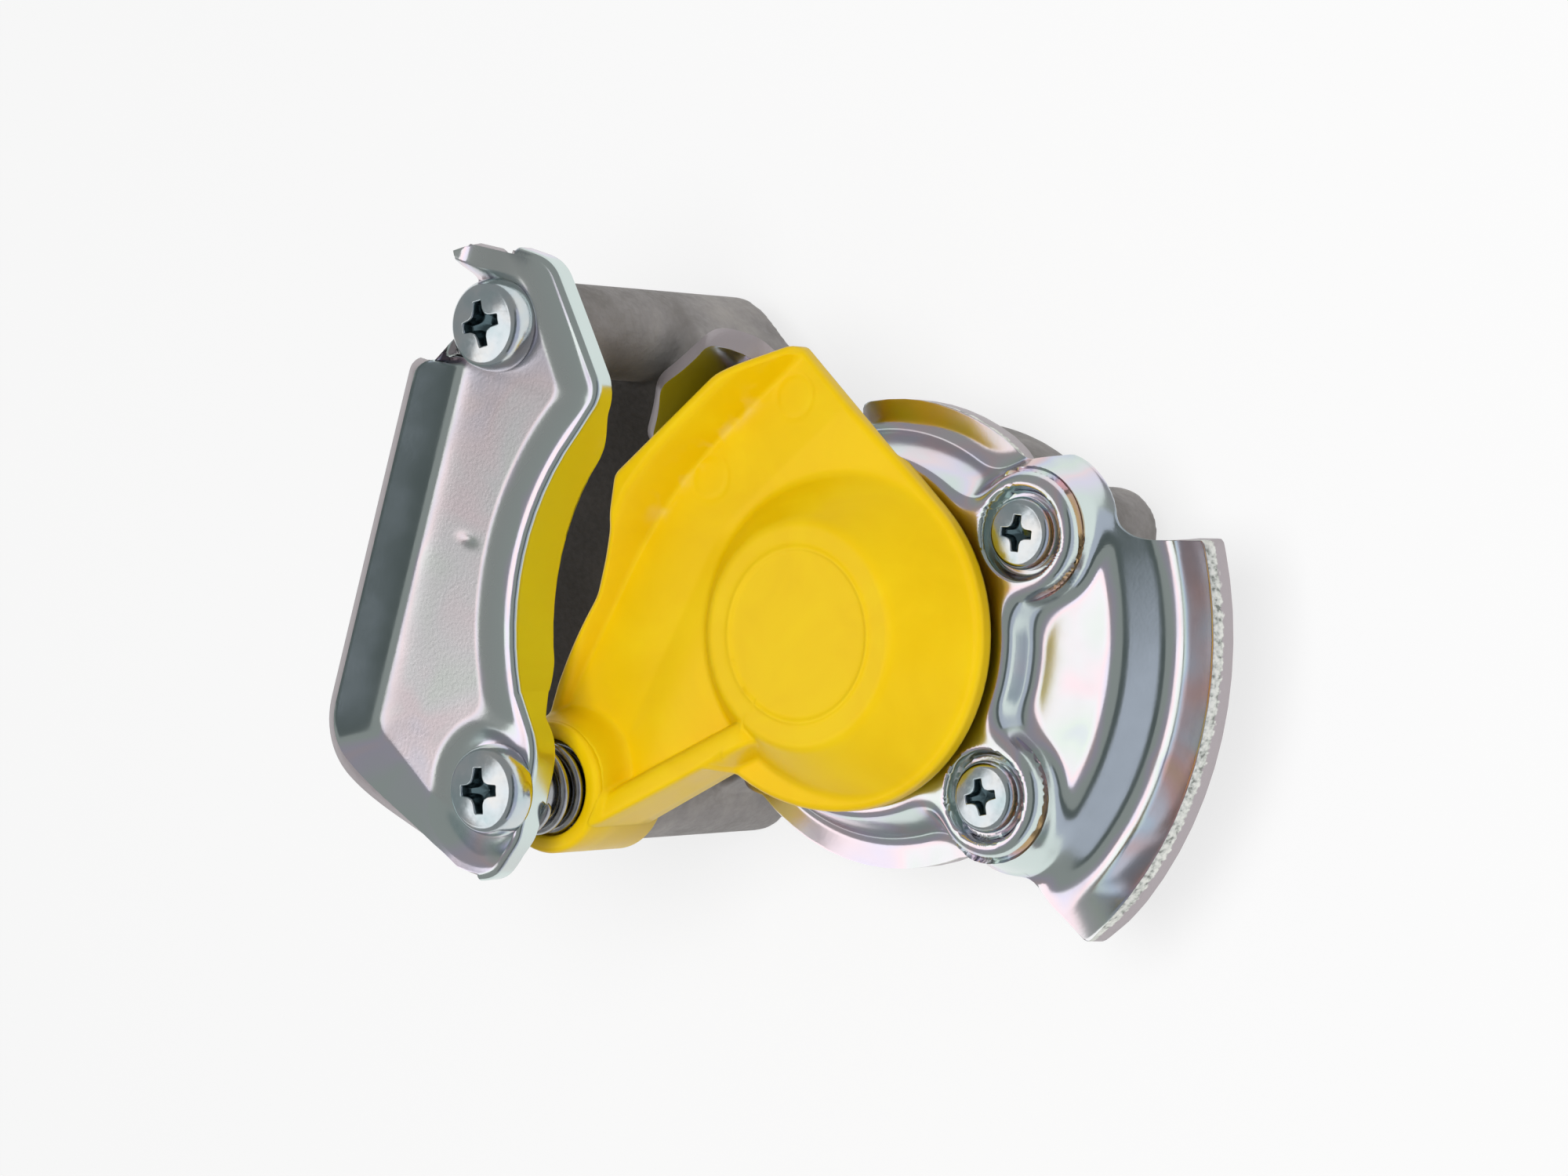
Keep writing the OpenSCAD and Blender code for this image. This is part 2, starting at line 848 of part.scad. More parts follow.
module arm_outline() {
    edge = polar(rim_r, tangent_dir(apex_at, rim_r));
    polygon(concat(
        corner(edge, apex_at, elbow_at, 2.5),
        corner(apex_at, elbow_at, knee_at, 2),
        corner(elbow_at, knee_at, heel_at, 8),
        [heel_at, pivot_at + [-boss_r, 0], rib_foot(), rib_end(), edge]
    ));
}

// Same outline moved in from the left and upper edges by the wall's thickness
dish_shift = [mould_t, -0.43 * mould_t];

module dish_outline() {
    difference() {
        translate(dish_shift)
            arm_outline();
        translate(rib_foot())
            rotate(rib_dir)
                translate([-boss_r, -boss_r])
                    square([3 * rim_r, boss_r + rib_t]);
    }
}

// Space above a tilted plane through the seal axis
module above(level, tilt) {
    at([0, 0], face_h + level)
        rotate([tilt[0], tilt[1], 0])
            translate([-3 * rim_r, -3 * rim_r, 0])
                cube([6 * rim_r, 6 * rim_r, 2 * rim_r]);
}

module dome_section() {
    top_z = face_h + dome_h;
    polygon([
        [0, cover_z],
        [rim_r, cover_z],
        [rim_r, cover_z + rim_h],
        [cone_foot_r + rim_fillet, cover_z + rim_h + 1.5 * rim_fillet],
        [cone_foot_r, cover_z + 2 * rim_h],
        [cone_top_r, top_z - dome_edge],
        [cone_top_r - 2 * dome_edge, top_z],
        [dome_ring_r + ring_w, top_z],
        [dome_ring_r, top_z + ring_w],
        [dome_ring_r - ring_w, top_z],
        [0, top_z]
    ]);
}

module dome_hollow() {
    top_z = face_h + dome_h - mould_t;
    rotate_extrude()
        polygon([
            [0, cover_z - cut],
            [cone_foot_r - seat_gap, cover_z - cut],
            [cone_foot_r - seat_gap, cover_z + cut],
            [cone_top_r - mould_t * hollow_taper, top_z],
            [0, top_z]
        ]);
}

module arm() {
    difference() {
        at([0, 0], arm_back_z)
            linear_extrude(boss_h)
                arm_outline();
        above(top_level, top_tilt);
        intersection() {
            linear_extrude(2 * claw_z)
                dish_outline();
            above(floor_level, floor_tilt);
        }
    }
}

module closed_cover() {
    difference() {
        union() {
            arm();
            rotate_extrude()
                dome_section();
            at(pivot_at, cover_z)
                cylinder(r = boss_r, h = boss_top_z - cover_z);
        }
        dome_hollow();
        at(pivot_at) {
            cylinder(r = sleeve_r + run_slip, h = 2 * claw_z);
            at([0, 0], pocket_z)
                cylinder(r = pocket_r, h = claw_z);
        }
    }
}

module cover() {
    color(yellow)
        at(pivot_at)
            rotate(-cover_open)
                at(-pivot_at)
                    closed_cover();
}

body();
seal_ring();
face_plate();
face_screws();
claw_plate();
claw_screw();
pivot_screw();
pivot_sleeve();
torsion_spring();
cover();
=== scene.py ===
"""Looks of a palm-type air brake coupling head with a sprung dust cover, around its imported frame.

The formulas use millimetres in the frame of the part: +Z is the axis of the face seal, the head lies
on its back at z = 0, and +X runs from the claw to the guide lip. Meshes are stored in metres.
"""

import math
from functools import partial

import bmesh
import bpy
import numpy as np
from bpy.props import FloatProperty, IntProperty, PointerProperty, StringProperty
from mathutils import Matrix, Vector


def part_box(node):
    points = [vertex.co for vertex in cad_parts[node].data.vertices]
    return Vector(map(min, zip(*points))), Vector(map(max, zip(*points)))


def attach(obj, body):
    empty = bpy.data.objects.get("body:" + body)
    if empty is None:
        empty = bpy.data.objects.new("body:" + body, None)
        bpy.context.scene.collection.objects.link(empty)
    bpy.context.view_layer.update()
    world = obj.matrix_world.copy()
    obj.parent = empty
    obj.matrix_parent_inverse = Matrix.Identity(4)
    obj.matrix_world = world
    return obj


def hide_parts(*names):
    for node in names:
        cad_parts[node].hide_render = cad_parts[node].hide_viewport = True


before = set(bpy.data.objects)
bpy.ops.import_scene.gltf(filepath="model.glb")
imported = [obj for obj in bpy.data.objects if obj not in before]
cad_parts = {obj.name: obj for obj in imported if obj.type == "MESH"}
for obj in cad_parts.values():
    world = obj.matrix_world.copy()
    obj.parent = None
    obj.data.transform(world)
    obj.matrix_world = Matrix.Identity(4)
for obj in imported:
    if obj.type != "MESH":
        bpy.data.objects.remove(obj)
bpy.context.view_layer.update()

bl_info = {
    "name": "Air Brake Coupling Head",
    "version": (1, 0, 0),
    "blender": (4, 5, 0),
    "location": "View3D > Sidebar > Coupling",
    "description": "Builds the finished look of a coupling head with a dust cover",
    "category": "Object",
}

MM = 0.001
HEAD = "head"
LID = "lid"


def mm(length):
    """A length in metres, as millimetres."""
    return length / MM


def node_box(node):
    """Lowest and highest corner of a CAD node, in millimetres."""
    low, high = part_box(node)
    return np.array(low) / MM, np.array(high) / MM


def node_axis(node):
    """Place in plan of an upright round node, in millimetres."""
    low, high = node_box(node)
    return ((low + high) / 2)[:2]


FACE_Z = node_box("face_plate")[1][2]
POST_AT = node_axis("claw_screw")
PIVOT_AT = node_axis("pivot_sleeve")
CLAW_BACK_Z = node_box("pivot_sleeve")[1][2]


# Sizes and colours that a user would change


def length(name, description, default):
    """A length property whose default is given in millimetres."""
    return FloatProperty(name=name, description=description, default=default * MM, unit="LENGTH")


class SheetSizes(bpy.types.PropertyGroup):
    """Sizes of the two pressed plates."""

    thickness: length("Sheet", "Thickness of both plates", 3.0)
    edge_break: length("Edge break", "Rounding of the sheared edges", 0.3)
    plateau_r: length("Plateau", "Radius at which the plateau bends down", 22.4)
    panel_drop: length("Panel drop", "Drop from the plateau to the panel", 4.5)
    brim_drop: length("Brim drop", "Drop from the plateau to the brim", 8.5)
    brim_r: length("Brim", "Outer radius of the brim", 30.5)
    lobe_r: length("Lobe", "Radius of a screw lobe's top", 6.2)
    lip_r: length("Lip", "Radius of the guide lip's edge", 49.0)
    bite_r: length("Bite", "Radius of the claw's inner edge", 36.3)
    bite_depth: length("Bite wall", "Depth of the claw's turned-down wall", 8.0)
    panel_rise: length("Claw panel", "Rise of the claw's panel", 2.0)
    flare_rise: length("Lead-in", "Rise of the claw's lead-in corner", 4.5)


class MouldSizes(bpy.types.PropertyGroup):
    """Grain of the remeshed casting."""

    cast_voxel: length("Casting grid", "Voxel of the casting's mesh", 0.55)
    cast_soft: IntProperty(
        name="Casting softness", description="Smoothing passes on the casting", default=9, min=0
    )


class Finishes(bpy.types.PropertyGroup):
    """Colours of the finishes, as sRGB hex."""

    cover: StringProperty(name="Cover", description="Moulded cover", default="#f0c702")
    zinc: StringProperty(name="Zinc", description="Clear-passivated zinc", default="#dfe2e5")
    screw: StringProperty(name="Screws", description="Blue-passivated zinc", default="#ccd6da")
    casting: StringProperty(name="Casting", description="Blasted die-cast aluminium", default="#969290")
    rubber: StringProperty(name="Seal", description="Moulded rubber", default="#17181a")
    wire: StringProperty(name="Spring", description="Drawn spring wire", default="#b9bbbd")
    floor: StringProperty(name="Floor", description="Pale studio floor", default="#f4f4f4")


class StageSizes(bpy.types.PropertyGroup):
    """Camera."""

    distance: length("Distance", "Camera to target", 550.0)
    lens: FloatProperty(
        name="Lens", description="Focal length in millimetres", default=99.0, unit="CAMERA"
    )
    roll_dir: FloatProperty(
        name="Roll",
        description="Direction of the image's upright on the face",
        default=math.radians(108.0),
        subtype="ANGLE",
    )
    tilt: FloatProperty(
        name="Tilt",
        description="Tilt of the view from the seal axis",
        default=math.radians(37.5),
        subtype="ANGLE",
    )


class CouplingSettings(bpy.types.PropertyGroup):
    """All settings of the coupling head."""

    sheet: PointerProperty(type=SheetSizes)
    mould: PointerProperty(type=MouldSizes)
    finish: PointerProperty(type=Finishes)
    stage: PointerProperty(type=StageSizes)


def settings():
    return bpy.context.scene.coupling


# Finishes

# Span that a noise texture mostly keeps to
MIDDLE = {"From Min": 0.3, "From Max": 0.7}
# Lip's edge: height of the burnished zone, reach of the torn one above it, and their ragged border
BURNISH_Z = 19.7
TORN_H = 2.5
TORN_WANDER = 1.2
TORN_START = (0.55, 0.75)


def linear(hex_colour):
    """An sRGB hex colour as linear RGBA."""
    channels = [int(hex_colour[i : i + 2], 16) / 255 for i in (1, 3, 5)]
    return tuple(c / 12.92 if c <= 0.04045 else ((c + 0.055) / 1.055) ** 2.4 for c in channels) + (1.0,)


def per_mm(size):
    """Texture scale, per metre, of a pattern whose features are size millimetres apart."""
    return 1.0 / (size * MM)


def connect(tree, node, inputs):
    """Sets a node's inputs, each to a value or to a link from another node's socket."""
    for name, value in inputs.items():
        if isinstance(value, bpy.types.NodeSocket):
            tree.links.new(value, node.inputs[name])
        else:
            node.inputs[name].default_value = value


def add_node(tree, kind, inputs, stops=(), out=0, **options):
    """Adds a node with its options, its ramp's stops and its inputs, and gives back one of its outputs."""
    node = tree.nodes.new("ShaderNode" + kind)
    for name, value in options.items():
        setattr(node, name, value)
    for i, (place, colour) in enumerate(stops):
        elements = node.color_ramp.elements
        stop = elements[i] if i < len(elements) else elements.new(place)
        stop.position = place
        stop.color = linear(colour)
    connect(tree, node, inputs)
    return node.outputs[out]


def new_material(name):
    """A material, what adds a node to it, what sets its shader, and the coordinates of its patterns."""
    material = bpy.data.materials.new(name)
    material.use_nodes = True
    tree = material.node_tree
    add = partial(add_node, tree)
    shade = partial(connect, tree, tree.nodes["Principled BSDF"])
    return material, add, shade, add("TexCoord", {}, out="Object")


def zinc_plate():
    """Pressed steel, bright zinc with clear passivation.

    The thin passivation gives drifts of pink, green and straw over silver. The tilt of the sheet shifts these
    tints as a painted reflection of the yellow cover and the studio: tan and violet in the hollows. The press
    leaves the flats a little rougher, and the attribute satin marks where the die has left a matt, pitted
    grain.
    """
    material, add, shade, place = new_material("zinc_clear_passivated")
    drifts = {"Vector": place, "Scale": per_mm(16.0), "Detail": 2.0, "Distortion": 0.6}
    drift = add("TexNoise", drifts)
    # Painted reflection: the sheet's tilt, stored per point, shifts the zinc's tints
    tilt = add("Attribute", {}, out="Fac", attribute_name="tone_shift")
    depth = add("Math", {0: drift, 1: 0.5, 2: tilt}, operation="MULTIPLY_ADD")
    tints = [(0.4, "#cba67d"), (0.52, "#d3aeb2"), (0.6, "#c3cbe0"), (0.67, "#d5e2dc")]
    tints += [(0.73, settings().finish.zinc), (0.78, "#e9dbe1"), (0.84, "#dcdaea"), (0.92, "#d3e0dd")]
    tone_shift = add("ValToRGB", {"Fac": depth}, tints)
    satin = add("Attribute", {}, out="Fac", attribute_name="satin")
    grain = add("TexNoise", {"Vector": place, "Scale": per_mm(0.5), "Detail": 3.0})
    worn = add("TexNoise", {"Vector": place, "Scale": per_mm(7.0), "Detail": 4.0})
    smooth = add("MapRange", {"Value": worn, **MIDDLE, "To Min": 0.13, "To Max": 0.22})
    rough = add("Math", {0: satin, 1: 0.12, 2: smooth}, operation="MULTIPLY_ADD")
    grainy = add("Math", {0: satin, 1: 0.1, 2: 0.03}, operation="MULTIPLY_ADD")
    bump = add("Bump", {"Strength": grainy, "Distance": 0.12 * MM, "Height": grain})
    dull = add("Math", {0: satin, 1: 0.4}, operation="MULTIPLY")
    tone = add("Mix", {"Factor": dull, 6: tone_shift, 7: linear("#cfcdcc")}, out=2, data_type="RGBA")
    shade({"Base Color": tone, "Metallic": 1.0, "Roughness": rough, "Normal": bump})
    return material


def sheared_edge():
    """Sheared and zinc-plated edge of the sheet: burnished grey, with a glittering torn zone on the lip."""
    material, add, shade, place = new_material("zinc_sheared_edge")
    tear = add("TexNoise", {"Vector": place, "Scale": per_mm(0.7), "Detail": 5.0})
    level = add("SeparateXYZ", {"Vector": place}, out="Z")
    ragged = add("Math", {0: tear, 1: TORN_WANDER * MM, 2: level}, operation="MULTIPLY_ADD")
    start, end = ((BURNISH_Z + z) * MM for z in TORN_START)
    above = add("MapRange", {"Value": ragged, "From Min": start, "From Max": end})
    lip = add("Math", {0: level, 1: (BURNISH_Z + TORN_H) * MM}, operation="LESS_THAN")
    torn = add("Math", {0: above, 1: lip}, operation="MULTIPLY")
    glints = [(0.34, "#868a83"), (0.46, "#cdd0c9"), (0.62, "#eaebe4")]
    speckle = add("ValToRGB", {"Fac": tear}, glints)
    tone = add("Mix", {"Factor": torn, 6: linear("#b5adb0"), 7: speckle}, out=2, data_type="RGBA")
    bump = add("Bump", {"Strength": 0.25, "Distance": 0.2 * MM, "Height": tear})
    shade({"Base Color": tone, "Metallic": 0.55, "Roughness": 0.42, "Normal": bump})
    return material


def zinc_screw():
    """Cold-headed screw, zinc with blue passivation: bright, with a cold tint and faint handling marks.

    The attribute recess marks the cross, painted darker: painted shade for its depth, with the dark residue of
    the passivation.
    """
    material, add, shade, place = new_material("zinc_blue_passivated")
    drift = add("TexNoise", {"Vector": place, "Scale": per_mm(5.0), "Detail": 3.0})
    tints = [(0.3, "#b9ccd0"), (0.5, settings().finish.screw), (0.7, "#d9dbd8")]
    tone_shift = add("ValToRGB", {"Fac": drift}, tints)
    mark = add("TexNoise", {"Vector": place, "Scale": per_mm(0.7), "Detail": 4.0})
    rough = add("MapRange", {"Value": mark, **MIDDLE, "To Min": 0.12, "To Max": 0.24})
    bump = add("Bump", {"Strength": 0.08, "Distance": 0.1 * MM, "Height": mark})
    # Painted shade of the deep cross, with the passivation's dark residue, mixed into the tint
    recess = add("Attribute", {}, out="Fac", attribute_name="recess")
    tone = add("Mix", {"Factor": recess, 6: tone_shift, 7: linear("#4d6066")}, out=2, data_type="RGBA")
    shade({"Base Color": tone, "Metallic": 1.0, "Roughness": rough, "Normal": bump})
    return material


def cast_aluminium():
    """Die-cast aluminium, shot-blasted: a dull grey skin with a fine pitted grain and cloudy patches.

    Painted shade: the skin in the slot under the claw is painted dark, for the claw's shadow.
    """
    material, add, shade, place = new_material("aluminium_die_cast_blasted")
    cloud = add("TexNoise", {"Vector": place, "Scale": per_mm(9.0), "Detail": 5.0})
    greys = [(0.3, "#837f7b"), (0.5, settings().finish.casting), (0.7, "#aaa5a1")]
    tone = add("ValToRGB", {"Fac": cloud}, greys)
    pit = add("TexNoise", {"Vector": place, "Scale": per_mm(0.8), "Detail": 5.0})
    rough = add("MapRange", {"Value": pit, **MIDDLE, "To Min": 0.5, "To Max": 0.7})
    bump = add("Bump", {"Strength": 0.5, "Distance": 0.25 * MM, "Height": pit})
    # Painted shade: the slot under the claw is mixed towards a dark brown
    painted_slot_shade = add("Attribute", {}, out="Fac", attribute_name="painted_slot_shade")
    skin = add("Mix", {"Factor": painted_slot_shade, 6: tone, 7: linear("#2e2a24")}, out=2, data_type="RGBA")
    shade({"Base Color": skin, "Metallic": 0.35, "Roughness": rough, "Normal": bump})
    return material


def cover_plastic():
    """Injection-moulded polyamide, dyed yellow: semi-gloss, a little cloudy where the flow met.

    The attribute pale marks the crease that strains when the moulding is pushed out, bleached in spots.
    """
    material, add, shade, place = new_material("polyamide_moulded_yellow")
    flows = {"Vector": place, "Scale": per_mm(12.0), "Detail": 3.0, "Distortion": 0.8}
    flow = add("TexNoise", flows)
    yellows = [(0.3, "#ecc200"), (0.5, settings().finish.cover), (0.72, "#f3cd06")]
    tone = add("ValToRGB", {"Fac": flow}, yellows)
    pale = add("Attribute", {}, out="Fac", attribute_name="pale")
    patch = add("TexNoise", {"Vector": place, "Scale": per_mm(4.5), "Detail": 2.0})
    spots = {"From Min": 0.5, "From Max": 0.62, "To Min": 0.0, "To Max": 0.6}
    strained = add("MapRange", {"Value": patch, **spots})
    bleach = add("Math", {0: pale, 1: strained}, operation="MULTIPLY")
    dyed = add("Mix", {"Factor": bleach, 6: tone, 7: linear("#ecca6a")}, out=2, data_type="RGBA")
    skin = add("TexNoise", {"Vector": place, "Scale": per_mm(0.6), "Detail": 3.0})
    rough = add("MapRange", {"Value": flow, **MIDDLE, "To Min": 0.3, "To Max": 0.42})
    bump = add("Bump", {"Strength": 0.06, "Distance": 0.1 * MM, "Height": skin})
    shade({"Base Color": dyed, "Roughness": rough, "Normal": bump})
    shade({"IOR": 1.5, "Specular IOR Level": 0.3, "Subsurface Weight": 0.12})
    shade({"Subsurface Radius": (1.0, 0.6, 0.1), "Subsurface Scale": 1.2 * MM})
    return material


def seal_rubber():
    """Moulded nitrile rubber: near black, with the satin skin of its mould."""
    material, add, shade, place = new_material("nitrile_rubber_moulded")
    skin = add("TexNoise", {"Vector": place, "Scale": per_mm(0.9), "Detail": 3.0})
    blacks = [(0.3, settings().finish.rubber), (0.7, "#26282a")]
    tone = add("ValToRGB", {"Fac": skin}, blacks)
    bump = add("Bump", {"Strength": 0.15, "Distance": 0.1 * MM, "Height": skin})
    shade({"Base Color": tone, "Roughness": 0.55, "Normal": bump})
    return material


def spring_wire():
    """Drawn spring steel: bright, with the cloudy streaks that the drawing die left."""
    material, add, shade, place = new_material("spring_steel_drawn")
    streak = add("TexNoise", {"Vector": place, "Scale": per_mm(1.6), "Detail": 3.0})
    steels = [(0.3, "#9b9da0"), (0.7, settings().finish.wire)]
    tone = add("ValToRGB", {"Fac": streak}, steels)
    rough = add("MapRange", {"Value": streak, **MIDDLE, "To Min": 0.18, "To Max": 0.3})
    shade({"Base Color": tone, "Metallic": 1.0, "Roughness": rough})
    return material


# Surfaces


def smoothstep(t):
    """0 below 0, 1 above 1, and the cubic 3t^2 - 2t^3 between."""
    t = np.clip(t, 0.0, 1.0)
    return t * t * (3.0 - 2.0 * t)


def span(t, start, rise, end, fall):
    """1 between start and end and 0 outside, with a smooth rise and fall of the given widths inside them."""
    return smoothstep((t - start) / rise) * smoothstep((end - t) / fall)


def smooth_min(a, b, blend):
    """Lesser of two distances, rounded by a parabola where they differ by less than blend."""
    share = np.clip(0.5 + 0.5 * (b - a) / blend, 0.0, 1.0)
    return b + (a - b) * share - blend * share * (1.0 - share)


def smooth_max(a, b, blend):
    """Greater of two heights, with a fillet where they differ by less than blend."""
    return -smooth_min(-a, -b, blend)


def left_of(x, y, through, direction):
    """Distance to the left of the line that runs through a point in a direction."""
    a = math.radians(direction)
    return (y - through[1]) * math.cos(a) - (x - through[0]) * math.sin(a)


def soft_ramp(d, bend):
    """0 below 0 and d above it, joined by a hyperbola of the given bend."""
    return 0.5 * (d + np.sqrt(d * d + bend * bend))


def polar(r, degrees):
    """Points at radius r in the given directions."""
    a = np.radians(degrees)
    return np.stack([r * np.cos(a), r * np.sin(a)], axis=-1)


def arc_points(centre, r, start, end, count=9):
    """Unrounded outline points along an arc, as rows x, y, 0."""
    points = np.asarray(centre) + polar(r, np.linspace(start, end, count))
    return [(x, y, 0.0) for x, y in points]


def rounded(corners, closed=True, steps=7):
    """Outline through corners x, y, r: each becomes an arc of radius r tangent to its two sides."""
    at = np.array([c[:2] for c in corners], float)
    pieces = []
    for i, (x, y, r) in enumerate(corners):
        ends = i in (0, len(corners) - 1)
        if r == 0.0 or (ends and not closed):
            pieces.append(at[i : i + 1])
            continue
        u = at[i - 1] - at[i]
        v = at[(i + 1) % len(at)] - at[i]
        u /= np.linalg.norm(u)
        v /= np.linalg.norm(v)
        half = math.acos(np.clip(u @ v, -1, 1)) / 2
        middle = at[i] + (u + v) / np.linalg.norm(u + v) * r / math.sin(half)
        start = at[i] + u * r / math.tan(half) - middle
        end = at[i] + v * r / math.tan(half) - middle
        turn = math.atan2(start[0] * end[1] - start[1] * end[0], start @ end)
        angles = math.atan2(start[1], start[0]) + np.linspace(0.0, turn, steps)
        pieces.append(middle + r * np.stack([np.cos(angles), np.sin(angles)], axis=-1))
    return np.concatenate(pieces)


def resample(points, count, closed=False):
    """The same polyline with count points, evenly spaced along it."""
    if closed:
        points = np.concatenate([points, points[:1]])
    run = np.concatenate([[0.0], np.cumsum(np.linalg.norm(np.diff(points, axis=0), axis=1))])
    at = np.linspace(0.0, run[-1], count, endpoint=not closed)
    return np.stack([np.interp(at, run, points[:, k]) for k in range(points.shape[1])], axis=-1)


def coons(inner, outer, first, last):
    """Patch between four edges: the two ruled surfaces added, less the bilinear one through the corners.

    inner and outer run along u, first and last run along v at the two ends of u.
    """
    u = np.linspace(0.0, 1.0, len(inner))[:, None, None]
    v = np.linspace(0.0, 1.0, len(first))[None, :, None]
    across = (1 - v) * inner[:, None] + v * outer[:, None]
    along = (1 - u) * first[None] + u * last[None]
    corners = (
        (1 - u) * (1 - v) * inner[0]
        + (1 - u) * v * outer[0]
        + u * (1 - v) * inner[-1]
        + u * v * outer[-1]
    )
    return across + along - corners


def grid_quads(rows, columns, closed_columns=False):
    """Quads of a grid numbered row by row; closed_columns joins the last column to the first."""
    width = columns if closed_columns else columns - 1
    i = np.arange(rows - 1)[:, None] * columns
    j = np.arange(width)[None, :]
    k = (j + 1) % columns
    return np.stack([i + j, i + k, i + columns + k, i + columns + j], axis=-1).reshape(-1, 4)


def round_surface(grid):
    """Points and quads of a grid whose columns run right round."""
    return grid.reshape(-1, 3), grid_quads(*grid.shape[:2], closed_columns=True)


def even_rows(inner, outer, height, rows, fine):
    """Straight lines in plan from inner to outer points, in rows spaced evenly along the surface."""
    t = np.linspace(0.0, 1.0, fine)
    plan = inner[None] + (outer - inner)[None] * t[:, None, None]
    rise = np.diff(height(plan[..., 0], plan[..., 1]), axis=0)
    run = np.hypot(np.linalg.norm(np.diff(plan, axis=0), axis=2), rise)
    run = np.concatenate([np.zeros((1, len(outer))), np.cumsum(run, axis=0)])
    even = np.linspace(0.0, 1.0, rows)
    shares = np.stack([np.interp(even, line / line[-1], t) for line in run.T], axis=1)
    plan = inner[None] + (outer - inner)[None] * shares[..., None]
    return np.concatenate([plan, height(plan[..., 0], plan[..., 1])[..., None]], axis=-1)


def set_values(mesh, attribute, values):
    """Stores one number per point."""
    data = mesh.attributes.new(attribute, "FLOAT", "POINT").data
    data.foreach_set("value", values.astype(np.float32))


def new_mesh(name, points, quads, **values):
    """A mesh in metres from points in millimetres, with values per point; shared points are merged."""
    mesh = bpy.data.meshes.new(name)
    mesh.vertices.add(len(points))
    mesh.vertices.foreach_set("co", (points * MM).astype(np.float32).ravel())
    mesh.loops.add(quads.size)
    mesh.loops.foreach_set("vertex_index", quads.astype(np.int32).ravel())
    mesh.polygons.add(len(quads))
    mesh.polygons.foreach_set("loop_start", np.arange(0, quads.size, 4, dtype=np.int32))
    mesh.update(calc_edges=True)
    for attribute, value in values.items():
        set_values(mesh, attribute, value)
    build = bmesh.new()
    build.from_mesh(mesh)
    bmesh.ops.remove_doubles(build, verts=build.verts, dist=1e-8)
    bmesh.ops.dissolve_degenerate(build, edges=build.edges, dist=1e-9)
    build.to_mesh(mesh)
    build.free()
    mesh.shade_smooth()
    return mesh


def new_piece(name, mesh, materials, body, slot, *nodes):
    """An object at the origin that rides on a body and stands for CAD nodes."""
    piece = bpy.data.objects.new(name, mesh)
    bpy.context.scene.collection.objects.link(piece)
    for material in materials:
        mesh.materials.append(material)
    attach(piece, body)
    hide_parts(*nodes)
    return piece


def revolve(profile, centre, steps):
    """Surface of revolution: rows of radius and height, turned about the upright axis through centre."""
    a = np.linspace(0.0, 2 * math.pi, steps, endpoint=False)[None, :]
    r = profile[:, 0:1]
    z = np.broadcast_to(profile[:, 1:2], (len(profile), steps))
    return np.stack([centre[0] + r * np.cos(a), centre[1] + r * np.sin(a), z], axis=-1)


def sheet_metal(piece):
    """Gives a pressed surface its thickness below, with a sheared edge, and breaks its sharp edges.

    The value per point that tints the zinc by its tilt, a painted reflection, is 0.5 on the flats,
    more where the sheet leans to +X and less where it leans to -X.
    """
    mesh = piece.data
    normals = np.empty(3 * len(mesh.vertices), np.float32)
    mesh.vertices.foreach_get("normal", normals)
    # Painted reflection: the tint of the zinc follows the sheet's lean along X
    set_values(mesh, "tone_shift", 0.5 + 0.45 * normals.reshape(-1, 3)[:, 0])
    wall = piece.modifiers.new("Sheet", "SOLIDIFY")
    wall.thickness = settings().sheet.thickness
    wall.offset = -1.0
    wall.use_even_offset = False
    wall.material_offset_rim = 1
    edge = piece.modifiers.new("Edge", "BEVEL")
    edge.width = settings().sheet.edge_break
    edge.segments = 2
    edge.limit_method = "ANGLE"
    edge.angle_limit = math.radians(50)


# Face plate

SCREW_CIRCLE_R = 28.5
LOBE_DIRS = (44.6, -27.3)
LOBE_BLEND = 5.0
# Directions at which a zone starts and ends, with the widths of its rise and fall
PANEL_SPAN = (LOBE_DIRS[1] - 12.0, 16.0, LOBE_DIRS[0] + 12.0, 16.0)
PLAIN_SPAN = (118.0, 1.5, 214.0, 1.5)
PLATE_HOLE_R = 16.7
CROWN_R = 1.6
FOOT_R = 2.0
PRESS_DRAFT = 20.0
PANEL_END_R = 35.2
LIP_BEND_R = 3.5
LIP_FLANK = 4.28
LIP_HOLLOW_R = 3.0
LIP_BEND_DIR = 40.0
LIP_RISE = 22.0
HEAD_RECESS_R = 5.2
HEAD_RECESS = 1.7
HEAD_RECESS_W = 0.9
LIP_LEN = 9.0
LOBE_BRIM_R = 10.4
TAB_RIM = (-36.0, 30.0)
TAB_SIDE = ((-33.0, 26.2), 52.6)
TAB_TURN = 3.2
TAB_SLOPE = 1.5
TAB_BLEND = 3.0
TAB_BEND = 1.2


def step_profile(drop):
    """Step down by drop as distance and height: a crown arc, a straight drafted wall and a foot arc."""
    draft = math.radians(PRESS_DRAFT)
    wall = (drop - (CROWN_R + FOOT_R) * (1 - math.sin(draft))) / math.cos(draft)
    a = np.linspace(math.pi / 2, draft, 12)
    crown = np.stack([CROWN_R * np.cos(a), CROWN_R * (np.sin(a) - 1)], axis=-1)
    foot = crown[-1] + wall * np.array([math.sin(draft), -math.cos(draft)])
    b = np.linspace(math.pi + draft, 1.5 * math.pi, 12)
    middle = foot + FOOT_R * np.array([math.cos(draft), math.sin(draft)])
    fillet = middle + FOOT_R * np.stack([np.cos(b), np.sin(b)], axis=-1)
    return np.concatenate([crown, fillet])


